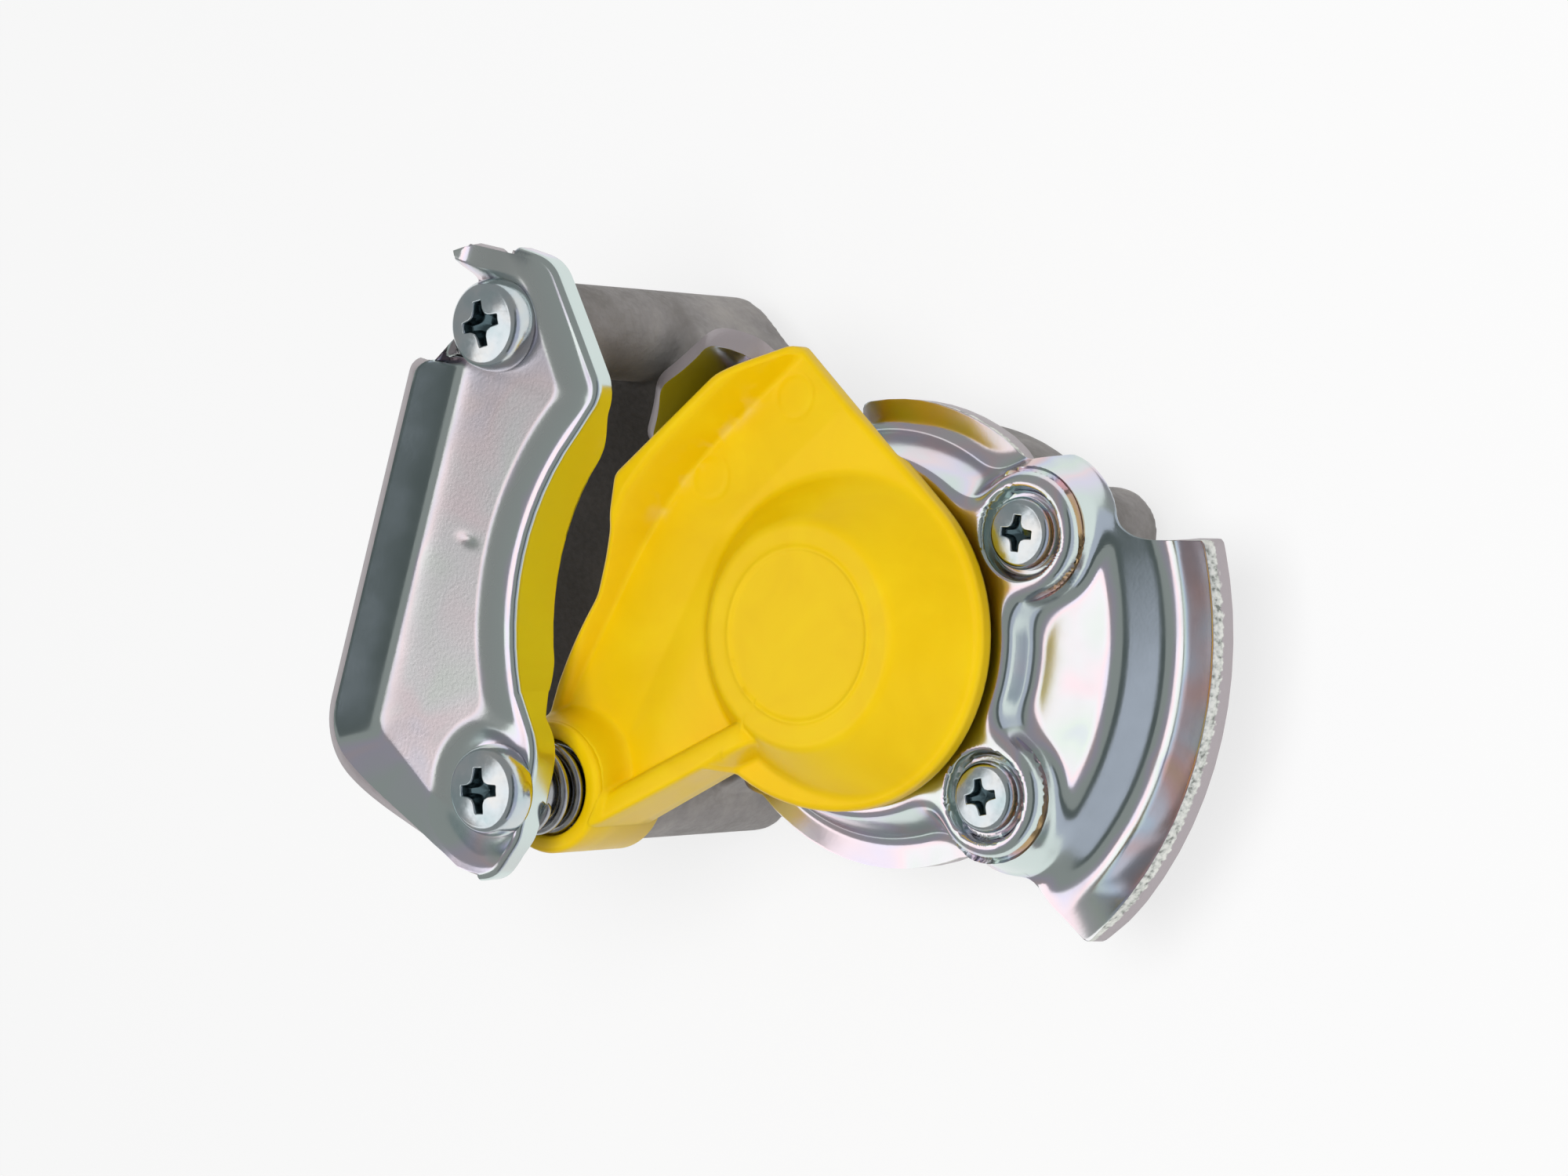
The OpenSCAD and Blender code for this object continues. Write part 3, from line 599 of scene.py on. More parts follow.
def lip_profile():
    """Guide lip as radius and height: an arc, a flank, the hollow's arc and a straight rise."""
    crown = np.array([PANEL_END_R, -LIP_BEND_R])
    hollow = crown + polar(LIP_BEND_R + LIP_HOLLOW_R, LIP_BEND_DIR) + polar(LIP_FLANK, LIP_BEND_DIR - 90)
    down = crown + polar(LIP_BEND_R, np.linspace(90, LIP_BEND_DIR, 14))
    up = hollow + polar(LIP_HOLLOW_R, np.linspace(180 + LIP_BEND_DIR, 270 + LIP_RISE, 20))
    return np.concatenate([down, up, up[-1:] + polar(LIP_LEN, LIP_RISE)])


def face_height(x, y):
    """Height of the face plate's front over the coupling face.

    The plateau and the screw lobes are one soft union of discs. From its edge the press steps down
    to the panel between the lobes, which ends in the guide lip, and to the brim elsewhere.
    """
    size = settings().sheet
    r = np.hypot(x, y)
    direction = np.degrees(np.arctan2(y, x))
    lobes = [polar(SCREW_CIRCLE_R, d) for d in LOBE_DIRS]
    edge = r - mm(size.plateau_r)
    for lobe in lobes:
        edge = smooth_min(edge, np.hypot(x - lobe[0], y - lobe[1]) - mm(size.lobe_r), LOBE_BLEND)
    high = step_profile(mm(size.panel_drop))
    low = step_profile(mm(size.brim_drop))
    lip = lip_profile()
    panel = np.interp(edge, high[:, 0], high[:, 1]) + np.interp(r, lip[:, 0], lip[:, 1])
    brim = np.interp(edge, low[:, 0], low[:, 1])
    height = brim + (panel - brim) * span(direction, *PANEL_SPAN)
    plain = span(np.mod(direction, 360.0), *PLAIN_SPAN)
    rim = smooth_max(TAB_RIM[0] - x, left_of(x, y, *TAB_SIDE), TAB_BLEND)
    rim = smooth_max(rim, y - TAB_RIM[1], TAB_BLEND)
    height = height * (1 - plain) + plain * TAB_SLOPE * soft_ramp(rim + TAB_TURN, TAB_BEND)
    for lobe in lobes:
        seat = np.hypot(x - lobe[0], y - lobe[1])
        height = height - HEAD_RECESS * (1 - smoothstep((seat - HEAD_RECESS_R) / HEAD_RECESS_W))
    return height


def face_outline():
    """Cut edge of the face plate in plan, anticlockwise from the lip's lower corner."""
    size = settings().sheet
    brim, lip = mm(size.brim_r), mm(size.lip_r)
    upper, lower = (polar(SCREW_CIRCLE_R, d) for d in LOBE_DIRS)
    start, end = polar(lip, -34.1), polar(lip, 31.9)
    return rounded(
        [(*start, 0.8)]
        + arc_points((0, 0), lip, -32.5, 30.5, 15)
        + [(*end, 0.8), (30.9, 22.6, 4.0)]
        + arc_points(upper, LOBE_BRIM_R, 34, 92, 9)
        + [(13.1, 27.5, 5.0)]
        + arc_points((0, 0), brim, 74, 115, 9)
        + [(*polar(brim, 117.5), 1.0), (*polar(23.0, 119.5), 1.0)]
        + [(-24.0, 30.0, 3.0), (-30.1, 30.0, 4.0), (-36.0, 22.3, 4.0), (-36.0, 13.6, 3.0), (-21.4, 9.9, 1.5)]
        + arc_points((0, 0), 22.6, 161, 211, 9)
        + [(*polar(22.6, 213), 1.0), (*polar(brim, 215.5), 1.0)]
        + arc_points((0, 0), brim, 218, 233, 4)
        + [(*polar(brim + 1.6, 238), 2.0)]
        + arc_points((0, 0), brim, 243, 304, 11)
        + [(*polar(brim, 310), 6.0)]
        + arc_points(lower, LOBE_BRIM_R, -104, -76, 5)
        + [(30.2, -22.6, 3.0), (33.7, -24.9, 6.0)]
    )


def build_face_plate():
    """Grid of straight lines from the seal's hole to the outline, over the pressed surface."""
    columns, rows, fine = 460, 84, 260
    outline = resample(face_outline(), columns, closed=True)
    angle = np.unwrap(np.arctan2(outline[:, 1], outline[:, 0]))
    angle = np.maximum.accumulate(angle) + np.arange(columns) * 1e-5
    hole = PLATE_HOLE_R * np.stack([np.cos(angle), np.sin(angle)], axis=-1)
    grid = even_rows(hole, outline, face_height, rows, fine)
    grid[..., 2] += FACE_Z
    points, quads = round_surface(grid)
    return points, quads[:, ::-1]


# Claw

CLAW_EDGE_R = 1.0
CLAW_W = 15.3
STRIP_W = 0.8
SLOPE_W = 4.0
SEAT_R = 6.0
LEDGE_DIR = 40.0
LEDGE_REACH = 9.4
FOLD_LEAN = 35.0
FOLD_RISE = 5.0
FOLD_CORNER_R = 3.2
FOLD_TURN = 66.5
FOLD_TOP_Y = 19.8
TOE_LEN = 20.0
TOE_FADE = 0.75
FOLD_BEND = 0.7
FLARE_X = (2.8, 8.5)
FLARE_Y = (4.3, 2.8)
DENT_AT = (-44.1, -1.5)
DENT_SIZE = (1.3, 0.6)
DENT_DEPTH = 0.3
# Shares of the inner edge at which a wall starts and ends, with the widths of its rise and fall
DEEP_WALL = (0.23, 0.12, 0.79, 0.13)
SHALLOW_WALL = (0.69, 0.1, 0.97, 0.14)
SHALLOW_DEPTH = 1.3


def fold_corner():
    """Middle of the crease's corner in plan."""
    x = FOLD_CORNER_R - mm(settings().sheet.bite_r) - CLAW_W
    return np.array([x, PIVOT_AT[1] + FOLD_CORNER_R + 0.3])


def claw_panel(x, y):
    """1 on the raised panel and 0 on the low strip and seat: the least distance to its sides, smoothed."""
    side = np.hypot(x, y) - mm(settings().sheet.bite_r) - STRIP_W
    seat = np.hypot(x - PIVOT_AT[0], y - PIVOT_AT[1]) - SEAT_R
    facing = polar(1.0, LEDGE_DIR)
    ledge = LEDGE_REACH - (x - POST_AT[0]) * facing[0] - (y - POST_AT[1]) * facing[1]
    inside = smooth_min(smooth_min(side, seat, 3.0), ledge, 2.0)
    return smoothstep(inside / SLOPE_W)


def fold_distance(x, y):
    """Distance out from the crease, which is a straight line, an arc about the corner and a second line."""
    corner = fold_corner()
    dx, dy = x - corner[0], y - corner[1]
    direction = np.mod(np.degrees(np.arctan2(dy, dx)), 360.0)
    facing = np.clip(direction, 180.0, 180.0 + FOLD_TURN)
    return np.hypot(dx, dy) * np.cos(np.radians(direction - facing)) - FOLD_CORNER_R


def claw_height(x, y):
    """Height of the claw's front over its low strip: the panel, the leaning fold and the lead-in corner."""
    size = settings().sheet
    along = polar(1.0, FOLD_TURN - 90.0)
    corner = fold_corner()
    run = (x - corner[0]) * along[0] + (y - corner[1]) * along[1]
    slope = (1.0 - TOE_FADE * smoothstep(run / TOE_LEN)) / math.tan(math.radians(FOLD_LEAN))
    fold = slope * soft_ramp(fold_distance(x, y), FOLD_BEND)
    fold = fold * (1.0 - smoothstep((y - FOLD_TOP_Y + 0.4) / 1.2))
    flare = smoothstep((POST_AT[0] + FLARE_X[0] - x) / FLARE_X[1])
    flare = flare * smoothstep((y - POST_AT[1] - FLARE_Y[0]) / FLARE_Y[1])
    dent = np.exp(-(((x - DENT_AT[0]) / DENT_SIZE[0]) ** 2) - ((y - DENT_AT[1]) / DENT_SIZE[1]) ** 2)
    panel = mm(size.panel_rise) * claw_panel(x, y)
    return panel + fold + mm(size.flare_rise) * flare - DENT_DEPTH * dent


def claw_edges():
    """Sides of the claw's patch in plan: the edge with the wall, the fold's edge, the lead-in, the toe."""
    bite = mm(settings().sheet.bite_r) + CLAW_EDGE_R
    corner = fold_corner()
    out = FOLD_CORNER_R + FOLD_RISE * math.tan(math.radians(FOLD_LEAN))
    fold_x = corner[0] - out
    top, tip, toe_right, toe = (-47.0, 35.9), (-54.0, 34.2), (-28.6, -41.7), (-31.6, -41.9)
    inner = rounded(
        [(*top, 0.0), (-43.4, 35.4, 5.0), (-31.0, 22.2, 3.0)]
        + arc_points((0, 0), bite, 154, 210, 13)
        + [(-27.4, -24.2, 7.0), (-26.6, -31.0, 6.0), (-26.3, -40.9, 3.0), (*toe_right, 0.0)],
        closed=False,
    )
    lead = rounded([(*top, 0.0), (-51.2, 35.8, 1.5), (*tip, 0.0)], closed=False)
    outer = rounded(
        [(*tip, 0.0), (-52.5, 31.8, 1.5), (-52.3, 24.0, 1.5), (-51.2, 20.8, 0.6), (fold_x, FOLD_TOP_Y, 3.0)]
        + arc_points(corner, out, 180, 180 + FOLD_TURN, 12)
        + [(-36.0, -40.4, 6.0), (*toe, 0.0)],
        closed=False,
    )
    end = rounded([(*toe_right, 0.0), (-30.1, -41.9, 1.0), (*toe, 0.0)], closed=False)
    return inner, outer, lead, end


def build_claw():
    """Patch between the inner edge and the fold's edge, with the turned-down wall along the inner edge."""
    size = settings().sheet
    across, along, wall_rows, bend_rows = 84, 280, 12, 7
    inner, outer, lead, end = claw_edges()
    plan = coons(
        resample(inner, along), resample(outer, along), resample(lead, across), resample(end, across)
    )
    z = claw_height(plan[..., 0], plan[..., 1])
    inner = plan[:, 0]
    tangent = np.gradient(inner, axis=0)
    tangent /= np.linalg.norm(tangent, axis=1)[:, None]
    towards = np.stack([-tangent[:, 1], tangent[:, 0]], axis=-1)
    bend = np.linspace(0.0, math.pi / 2, bend_rows + 1)[1:]
    u = np.linspace(0.0, 1.0, along)
    sheet = mm(size.thickness)
    deep, shallow = span(u, *DEEP_WALL), span(u, *SHALLOW_WALL)
    depth = sheet + np.maximum((mm(size.bite_depth) - sheet) * deep, SHALLOW_DEPTH * shallow)
    reach = np.concatenate([np.sin(bend), np.ones(wall_rows)]) * CLAW_EDGE_R
    drop = np.concatenate(
        [
            np.broadcast_to((1 - np.cos(bend)) * CLAW_EDGE_R, (along, bend_rows)),
            CLAW_EDGE_R + (depth - CLAW_EDGE_R)[:, None] * np.linspace(0, 1, wall_rows + 1)[None, 1:],
        ],
        axis=1,
    )
    wall_plan = inner[:, None] + towards[:, None] * reach[None, :, None]
    wall = np.concatenate([wall_plan, (z[:, :1] - drop)[..., None]], axis=-1)
    top = np.concatenate([plan, z[..., None]], axis=-1)
    grid = np.concatenate([wall[:, ::-1], top], axis=1)
    grid[..., 2] += CLAW_BACK_Z + sheet
    points = grid.reshape(-1, 3)
    x, y = points[:, 0], points[:, 1]
    satin = claw_panel(x, y) * (1.0 - smoothstep(fold_distance(x, y) / 0.6 + 1.0))
    return points, grid_quads(along, grid.shape[1]), satin


# Dust cover, as heights over the coupling face

DOME_H = 12.3
CONE_TOP_R = 14.4
CONE_SLOPE = 1.138
RIM_R = 22.6
RIM_H = 4.0
RING_R = 11.0
SHELL_T = 2.5
COVER_BACK = 1.7
ARM_BACK = 3.0
BOSS_R = 8.7
BOSS_H = 15.5
POCKET_R = 6.4
POCKET_DEPTH = 9.5
BORE_R = 4.55
COVER_EDGE = 1.0
RIB_FOOT = (-25.3, -36.6)
RIB_DIR = 43.5
RIB_T = 3.3
RIB_LEN = 30.5
WALL_CREASE = (((-25.6, 16.5), 57.7), ((-32.6, -7.0), 81.1))
FLOOR_CREASE = (((-12.6, 19.0), 57.5), ((-22.5, -10.4), 81.1))
EJECTORS = ((-14.7, 27.3), (-23.7, 13.6))
EJECTOR_R = 2.8
FLOOR_H = 7.9
FLOOR_FALL = 0.085
WALL_SLOPE = 2.0
# Height of the wall's top over the seal axis, and its fall along X and Y
WALL_TOP = (11.4, 0.0682, 0.0648)
# Greatest height of the wall, its rise along Y, and the Y where it has that height
WALL_CAP = (12.6, 0.07, 3.0)
BOSS_DRAFT = 3.6


def cover_dome(r):
    """Flat top with a fine ring, a cone and a low rim, as height at a radius."""
    cone = DOME_H + (CONE_TOP_R - r) * CONE_SLOPE
    ring = 0.22 * np.exp(-(((r - RING_R) / 0.3) ** 2))
    return smooth_max(smooth_min(cone, DOME_H, 0.8), RIM_H - 0.2 * (r - RIM_R), 0.5) + ring


def wall_distance(x, y):
    """Distance out from the crease where the arm's floor turns up into its wall."""
    upper, lower = (left_of(x, y, *line) for line in WALL_CREASE)
    return smooth_max(upper, lower, 5.0)


def cover_height(x, y):
    """Height of the cover's front: the fillets join floor, dome, drafted wall, rib and pivot boss.

    The floor is a band that falls to the apex. Beyond its second crease it falls to the rim above and
    rises to the dome below. The wall climbs at a steady slope until the plane of its top cuts it.
    """
    level = FLOOR_H - FLOOR_FALL * y
    upper, lower = (-left_of(x, y, *line) for line in FLOOR_CREASE)
    past = smooth_min(upper, lower, 1.0)
    share = smoothstep((y - 3.0) / 8.0)
    rise = 0.2 * soft_ramp(past, 0.15) - 0.4 * soft_ramp(past - 4.5, 3.0)
    height = level + (1.0 - share) * rise - 0.14 * share * soft_ramp(past, 0.15)
    for centre in EJECTORS:
        mark = np.hypot(x - centre[0], y - centre[1]) - EJECTOR_R
        height = height - 0.1 * np.exp(-((mark / 0.3) ** 2))
    height = smooth_max(height, cover_dome(np.hypot(x, y)), 0.9)
    tops = WALL_TOP[0] - WALL_TOP[1] * x - WALL_TOP[2] * y
    cap = np.minimum(tops, WALL_CAP[0] + WALL_CAP[1] * (y - WALL_CAP[2]))
    wall = smooth_min(level + WALL_SLOPE * wall_distance(x, y), cap, 1.0)
    height = smooth_max(height, wall, 0.35)
    inside = left_of(x, y, RIB_FOOT, RIB_DIR)
    along = left_of(x, y, RIB_FOOT, RIB_DIR - 90.0)
    rib = tops - 4.0 * soft_ramp(inside - RIB_T, 0.5) - 6.0 * soft_ramp(-inside, 0.25)
    height = smooth_max(height, rib - 3.0 * soft_ramp(along - RIB_LEN, 0.6), 0.7)
    beyond = np.hypot(x - PIVOT_AT[0], y - PIVOT_AT[1]) - BOSS_R
    return smooth_max(height, BOSS_H - 0.3 - BOSS_DRAFT * soft_ramp(beyond + 0.05, 0.3), 2.2)


def cover_back(x, y):
    """Height of the cover's back: the hollow of the dome, its rim, and the flat back of the arm."""
    r = np.hypot(x, y)
    cone = DOME_H - SHELL_T + (CONE_TOP_R - 1.0 - r) * CONE_SLOPE
    hollow = smooth_max(smooth_min(cone, DOME_H - SHELL_T, 0.8), COVER_BACK, 0.3)
    return np.maximum(hollow, COVER_BACK + (ARM_BACK - COVER_BACK) * smoothstep((r - RIM_R - 0.4) / 0.6))


def cover_outline():
    """Edge of the cover in plan, anticlockwise from the rib's end, and inside the boss's near wall."""
    return rounded(
        arc_points((0, 0), RIM_R, -111.5, 63, 40)
        + [(-16.6, 33.7, 1.4), (-24.2, 27.2, 7.0), (-34.6, 10.8, 1.8), (-34.0, 3.6, 14.0)]
        + [(-34.5, -6.0, 16.0), (-36.9, -19.0, 12.0), (-37.4, -24.9, 0.5)]
        + arc_points(PIVOT_AT, BOSS_R - 0.9, 124, -12, 13)
        + [(-23.2, -34.6, 0.3), (-9.1, -21.2, 0.8)]
    )


def build_cover():
    """Lines from the dome's middle to the edge, round it and back below; the boss is a turned ring."""
    columns, rows, fine, edge_rows, side_rows, back_rows = 480, 112, 400, 7, 4, 34
    outline = resample(cover_outline(), columns, closed=True)
    outwards = outline / np.linalg.norm(outline, axis=1)[:, None]
    inset = outline - COVER_EDGE * outwards
    front = even_rows(np.zeros_like(inset), inset, cover_height, rows, fine)
    top = front[-1, :, 2]
    low = cover_back(*inset.T)
    bend = np.linspace(0.0, math.pi / 2, edge_rows + 1)[1:, None]
    out = outline[None] - outwards[None] * (COVER_EDGE * (1.0 - np.sin(bend)))[..., None]
    edge = np.concatenate([out, (top[None] - COVER_EDGE * (1.0 - np.cos(bend)))[..., None]], axis=-1)
    down = np.linspace(0.0, 1.0, side_rows + 1)[1:, None]
    side = np.concatenate(
        [
            np.broadcast_to(outline, (side_rows, columns, 2)),
            (edge[-1:, :, 2] + (low + 0.3 - edge[-1, :, 2])[None] * down)[..., None],
        ],
        axis=-1,
    )
    inwards = np.linspace(1.0, 0.0, back_rows)[:, None]
    under = inset[None] * inwards[..., None]
    back = np.concatenate([under, cover_back(under[..., 0], under[..., 1])[..., None]], axis=-1)
    shell, shell_quads = round_surface(np.concatenate([front, edge, side, back]))
    pocket = BOSS_H - POCKET_DEPTH
    ring = np.array(
        [
            [BORE_R, COVER_BACK], [BORE_R, pocket], [POCKET_R, pocket], [POCKET_R, BOSS_H - 0.5],
            [POCKET_R + 0.15, BOSS_H - 0.15], [POCKET_R + 0.5, BOSS_H], [BOSS_R - 0.8, BOSS_H],
            [BOSS_R - 0.35, BOSS_H - 0.15], [BOSS_R - 0.1, BOSS_H - 0.45], [BOSS_R, BOSS_H - 0.8],
            [BOSS_R, COVER_BACK], [BORE_R, COVER_BACK],
        ]
    )
    boss, boss_quads = round_surface(revolve(ring, PIVOT_AT, 140))
    points = np.concatenate([shell, boss])
    quads = np.concatenate([shell_quads, boss_quads + len(shell)])[:, ::-1]
    x, y = points[:, 0], points[:, 1]
    pale = np.exp(-((wall_distance(x, y) / 0.9) ** 2)) * smoothstep((y - 4.0) / 4.0)
    points[:, 2] += FACE_Z
    return points, quads, pale


# Screws, sleeve, spring and seal

CLAW_SHANK_R = 2.9
FACE_HEAD_R = 4.65
FACE_HEAD_H = 2.6
FACE_SHANK_R = 2.4
FACE_TURNS = (0.2, 0.5, 0.0)
HIDDEN_SCREW_DIR = 150.0
SLEEVE_BORE_R = 3.0
SLEEVE_EDGE = 0.3
WIRE_R = 0.7
COIL_TURNS = 5
SEAL_BORE_R = 9.5
SEAL_NECK_R = 16.4
SEAL_LIP_R = 1.1


def screw_grid(centre, seat_z, head_r, head_h, shank_r, low_z, turn):
    """Pan-head screw: a revolved profile whose crown is pressed in by a cross.

    The second result is how deep each point lies in the cross, 0 to 1.
    """
    steps = 200
    side, crown, land = 0.22 * head_r, 0.14 * head_h, 0.22 * head_h
    a = np.linspace(0.0, math.pi / 2, 12)
    inwards = np.linspace(1.0, 0.0, 56)[:, None] * (head_r - side)
    top = np.concatenate([inwards, head_h - crown * (inwards / (head_r - side)) ** 2], axis=1)
    edge = np.stack(
        [head_r - side + side * np.cos(a), land + (head_h - crown - land) * np.sin(a)], axis=-1
    )
    end = low_z - seat_z
    shank = [[0.0, end], [shank_r - 0.4, end], [shank_r, end + 0.4], [shank_r, 0.0]]
    shank += [[head_r - 0.2, 0.0], [head_r, 0.2]]
    grid = revolve(np.concatenate([shank, edge, top[1:]]), centre, steps)
    x, y = grid[..., 0] - centre[0], grid[..., 1] - centre[1]
    r = np.hypot(x, y)
    c, s = math.cos(turn), math.sin(turn)
    p, q = np.abs(c * x + s * y), np.abs(c * y - s * x)
    reach = 0.5 * head_r
    share = np.clip(r / reach, 0.0, 1.0)
    half = head_r * (0.17 - 0.05 * share)
    arms = np.minimum(np.maximum(p - reach, q - half), np.maximum(q - reach, p - half))
    heart = smooth_min(arms, r - 0.26 * head_r, 0.1 * head_r)
    is_top = np.arange(len(grid))[:, None] >= len(shank) + len(a) // 2
    pressed = smoothstep(-heart / (0.07 * head_r)) * is_top
    grid[..., 2] += seat_z - head_h * (0.34 + 0.26 * (1.0 - share)) * pressed
    return grid, pressed


def sleeve_grid():
    """Tube with broken edges."""
    low, high = node_box("pivot_sleeve")
    r, bore, edge, foot, top = (high - low)[0] / 2, SLEEVE_BORE_R, SLEEVE_EDGE, low[2], high[2]
    profile = [[bore, foot + edge], [bore + edge, foot], [r - edge, foot], [r, foot + edge]]
    profile += [[r, top - edge], [r - edge, top], [bore + edge, top], [bore, top - edge]]
    return revolve(np.array(profile + profile[:1]), PIVOT_AT, 96)


def spring_grid():
    """Helix of round wire, whose two ends are closed by an ellipse's taper."""
    low, high = node_box("torsion_spring")
    rings, sides, end_share = 420, 18, 90
    coil = (high - low)[0] / 2 - WIRE_R
    t = np.linspace(0.0, 1.0, rings)[:, None]
    a = 2 * math.pi * COIL_TURNS * t
    b = np.linspace(0.0, 2 * math.pi, sides, endpoint=False)[None, :]
    taper = WIRE_R * np.sqrt(1 - np.clip(1 - np.minimum(t, 1 - t) * end_share, 0, 1) ** 2)
    radius = coil + taper * np.cos(b)
    z = low[2] + WIRE_R + (high[2] - low[2] - 2 * WIRE_R) * t + taper * np.sin(b)
    return np.stack([PIVOT_AT[0] + radius * np.cos(a), PIVOT_AT[1] + radius * np.sin(a), z], axis=-1)


def seal_grid():
    """Ring with a flange under the face plate and a neck whose two upper edges are quarter circles."""
    low, high = node_box("seal_ring")
    r, bore, neck, lip = (high - low)[0] / 2, SEAL_BORE_R, SEAL_NECK_R, SEAL_LIP_R
    flange_z = FACE_Z - mm(settings().sheet.thickness)
    a = np.linspace(0.0, math.pi / 2, 8)
    outer = np.stack([neck - lip + lip * np.cos(a), high[2] - lip + lip * np.sin(a)], axis=-1)
    inner = np.stack([bore + lip - lip * np.sin(a), high[2] - lip + lip * np.cos(a)], axis=-1)
    foot = [[bore, low[2]], [r, low[2]], [r, flange_z], [neck, flange_z]]
    return revolve(np.concatenate([foot, outer, inner, foot[:1]]), (0.0, 0.0), 160)


# Casting

SADDLE = (
    (-46.0, 27.0), (-56.0, 15.0), (-56.0, -20.0), (-42.0, -34.0), (-38.5, -8.0), (-40.5, 8.0), (-38.5, 24.0),
)
SADDLE_Z = (9.0, 27.2)
# Where the painted shade under the claw ends in plan, its strength, and its span in height
SLOT_X = -35.0
SLOT_Y = 27.0
SLOT_SHADE = 0.85
SLOT_SHADE_Z = (18.0, 7.0, 29.5, 2.0)


def add_saddle(mesh):
    """Merges the points of the body's mesh and adds the saddle of its neck, an upright prism."""
    build = bmesh.new()
    build.from_mesh(mesh)
    bmesh.ops.remove_doubles(build, verts=build.verts, dist=1e-7)
    low, high = ([build.verts.new((x * MM, y * MM, z * MM)) for x, y in SADDLE] for z in SADDLE_Z)
    build.faces.new(low)
    build.faces.new(high[::-1])
    for i in range(len(SADDLE)):
        j = (i + 1) % len(SADDLE)
        build.faces.new((low[j], low[i], high[i], high[j]))
    build.to_mesh(mesh)
    build.free()


def soften(piece):
    """Applies a voxel remesh, which joins the saddle to the body, and passes of smoothing."""
    shape = piece.modifiers.new("Grid", "REMESH")
    shape.mode = "VOXEL"
    shape.voxel_size = settings().mould.cast_voxel
    shape.use_smooth_shade = True
    soft = piece.modifiers.new("Soften", "SMOOTH")
    soft.factor = 0.5
    soft.iterations = settings().mould.cast_soft
    applied = bpy.data.meshes.new_from_object(piece.evaluated_get(bpy.context.evaluated_depsgraph_get()))
    piece.modifiers.clear()
    piece.data = applied
    applied.name = piece.name
    applied.shade_smooth()


def paint_slot_shade(mesh):
    """Painted shade: a value per point, which fades out on all sides from the neck under the claw."""
    points = np.empty(3 * len(mesh.vertices), np.float32)
    mesh.vertices.foreach_get("co", points)
    x, y, z = points.reshape(-1, 3).T / MM
    slot = smoothstep((SLOT_X - x) / 3.0) * smoothstep((SLOT_Y - y) / 5.0)
    set_values(mesh, "painted_slot_shade", SLOT_SHADE * slot * span(z, *SLOT_SHADE_Z))


# Operators


class COUPLING_OT_casting(bpy.types.Operator):
    """Casting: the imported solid's surface with a saddle on its neck, remeshed and smoothed to cast radii."""

    bl_idname = "coupling.casting"
    bl_label = "Casting"

    def execute(self, context):
        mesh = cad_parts["body"].data.copy()
        mesh.name = "casting"
        mesh.materials.clear()
        add_saddle(mesh)
        piece = new_piece("casting", mesh, [cast_aluminium()], HEAD, "cast_aluminium", "body")
        soften(piece)
        # Painted shade in the slot under the claw
        paint_slot_shade(piece.data)
        return {"FINISHED"}


class COUPLING_OT_cover(bpy.types.Operator):
    """Dust cover: one closed surface of heights over the face, and the turned ring of its pivot boss."""

    bl_idname = "coupling.cover"
    bl_label = "Dust cover"

    def execute(self, context):
        points, quads, pale = build_cover()
        mesh = new_mesh("dust_cover", points, quads, pale=pale)
        new_piece("dust_cover", mesh, [cover_plastic()], LID, "yellow_plastic", "cover")
        return {"FINISHED"}


class COUPLING_OT_face_plate(bpy.types.Operator):
    """Face plate: a pressed surface from the seal's hole to its cut edge, with its thickness below."""

    bl_idname = "coupling.face_plate"
    bl_label = "Face plate"

    def execute(self, context):
        mesh = new_mesh("guide_plate", *build_face_plate())
        materials = [zinc_plate(), sheared_edge()]
        sheet_metal(new_piece("guide_plate", mesh, materials, HEAD, "zinc_plate", "face_plate"))
        return {"FINISHED"}


class COUPLING_OT_claw(bpy.types.Operator):
    """Claw: a pressed patch with its panel, fold and lead-in, and the wall turned down along the bite."""

    bl_idname = "coupling.claw"
    bl_label = "Claw"

    def execute(self, context):
        points, quads, satin = build_claw()
        mesh = new_mesh("claw_sheet", points, quads, satin=satin)
        materials = [zinc_plate(), sheared_edge()]
        sheet_metal(new_piece("claw_sheet", mesh, materials, HEAD, "zinc_plate", "claw_plate"))
        return {"FINISHED"}


class COUPLING_OT_screws(bpy.types.Operator):
    """Screws: pan heads with a cross recess on the claw, and smaller ones on the face plate."""

    bl_idname = "coupling.screws"
    bl_label = "Screws"

    def execute(self, context):
        material = zinc_screw()
        claw_z = CLAW_BACK_Z + mm(settings().sheet.thickness)
        panel_z = claw_z + mm(settings().sheet.panel_rise)
        for name, seat, turn in (("claw_screw", panel_z, 0.5), ("pivot_screw", claw_z, 0.35)):
            low, high = node_box(name)
            head_r = (high - low)[0] / 2
            screw = screw_grid(node_axis(name), seat, head_r, high[2] - seat, CLAW_SHANK_R, low[2], turn)
            self.piece(name + "_finished", [screw], material, name)
        low, high = node_box("face_screws")
        seat = high[2] - FACE_HEAD_H
        grids = [
            screw_grid(polar(SCREW_CIRCLE_R, d), seat, FACE_HEAD_R, FACE_HEAD_H, FACE_SHANK_R, low[2], turn)
            for d, turn in zip((*LOBE_DIRS, HIDDEN_SCREW_DIR), FACE_TURNS)
        ]
        self.piece("plate_screws", grids, material, "face_screws")
        return {"FINISHED"}

    def piece(self, name, grids, material, node):
        quads = grid_quads(*grids[0][0].shape[:2], closed_columns=True)
        count = grids[0][1].size
        points = np.concatenate([grid.reshape(-1, 3) for grid, pressed in grids])
        faces = np.concatenate([quads + i * count for i in range(len(grids))])
        pressed = np.concatenate([pressed.ravel() for grid, pressed in grids])
        mesh = new_mesh(name, points, faces, recess=pressed)
        new_piece(name, mesh, [material], HEAD, "zinc_screw", node)


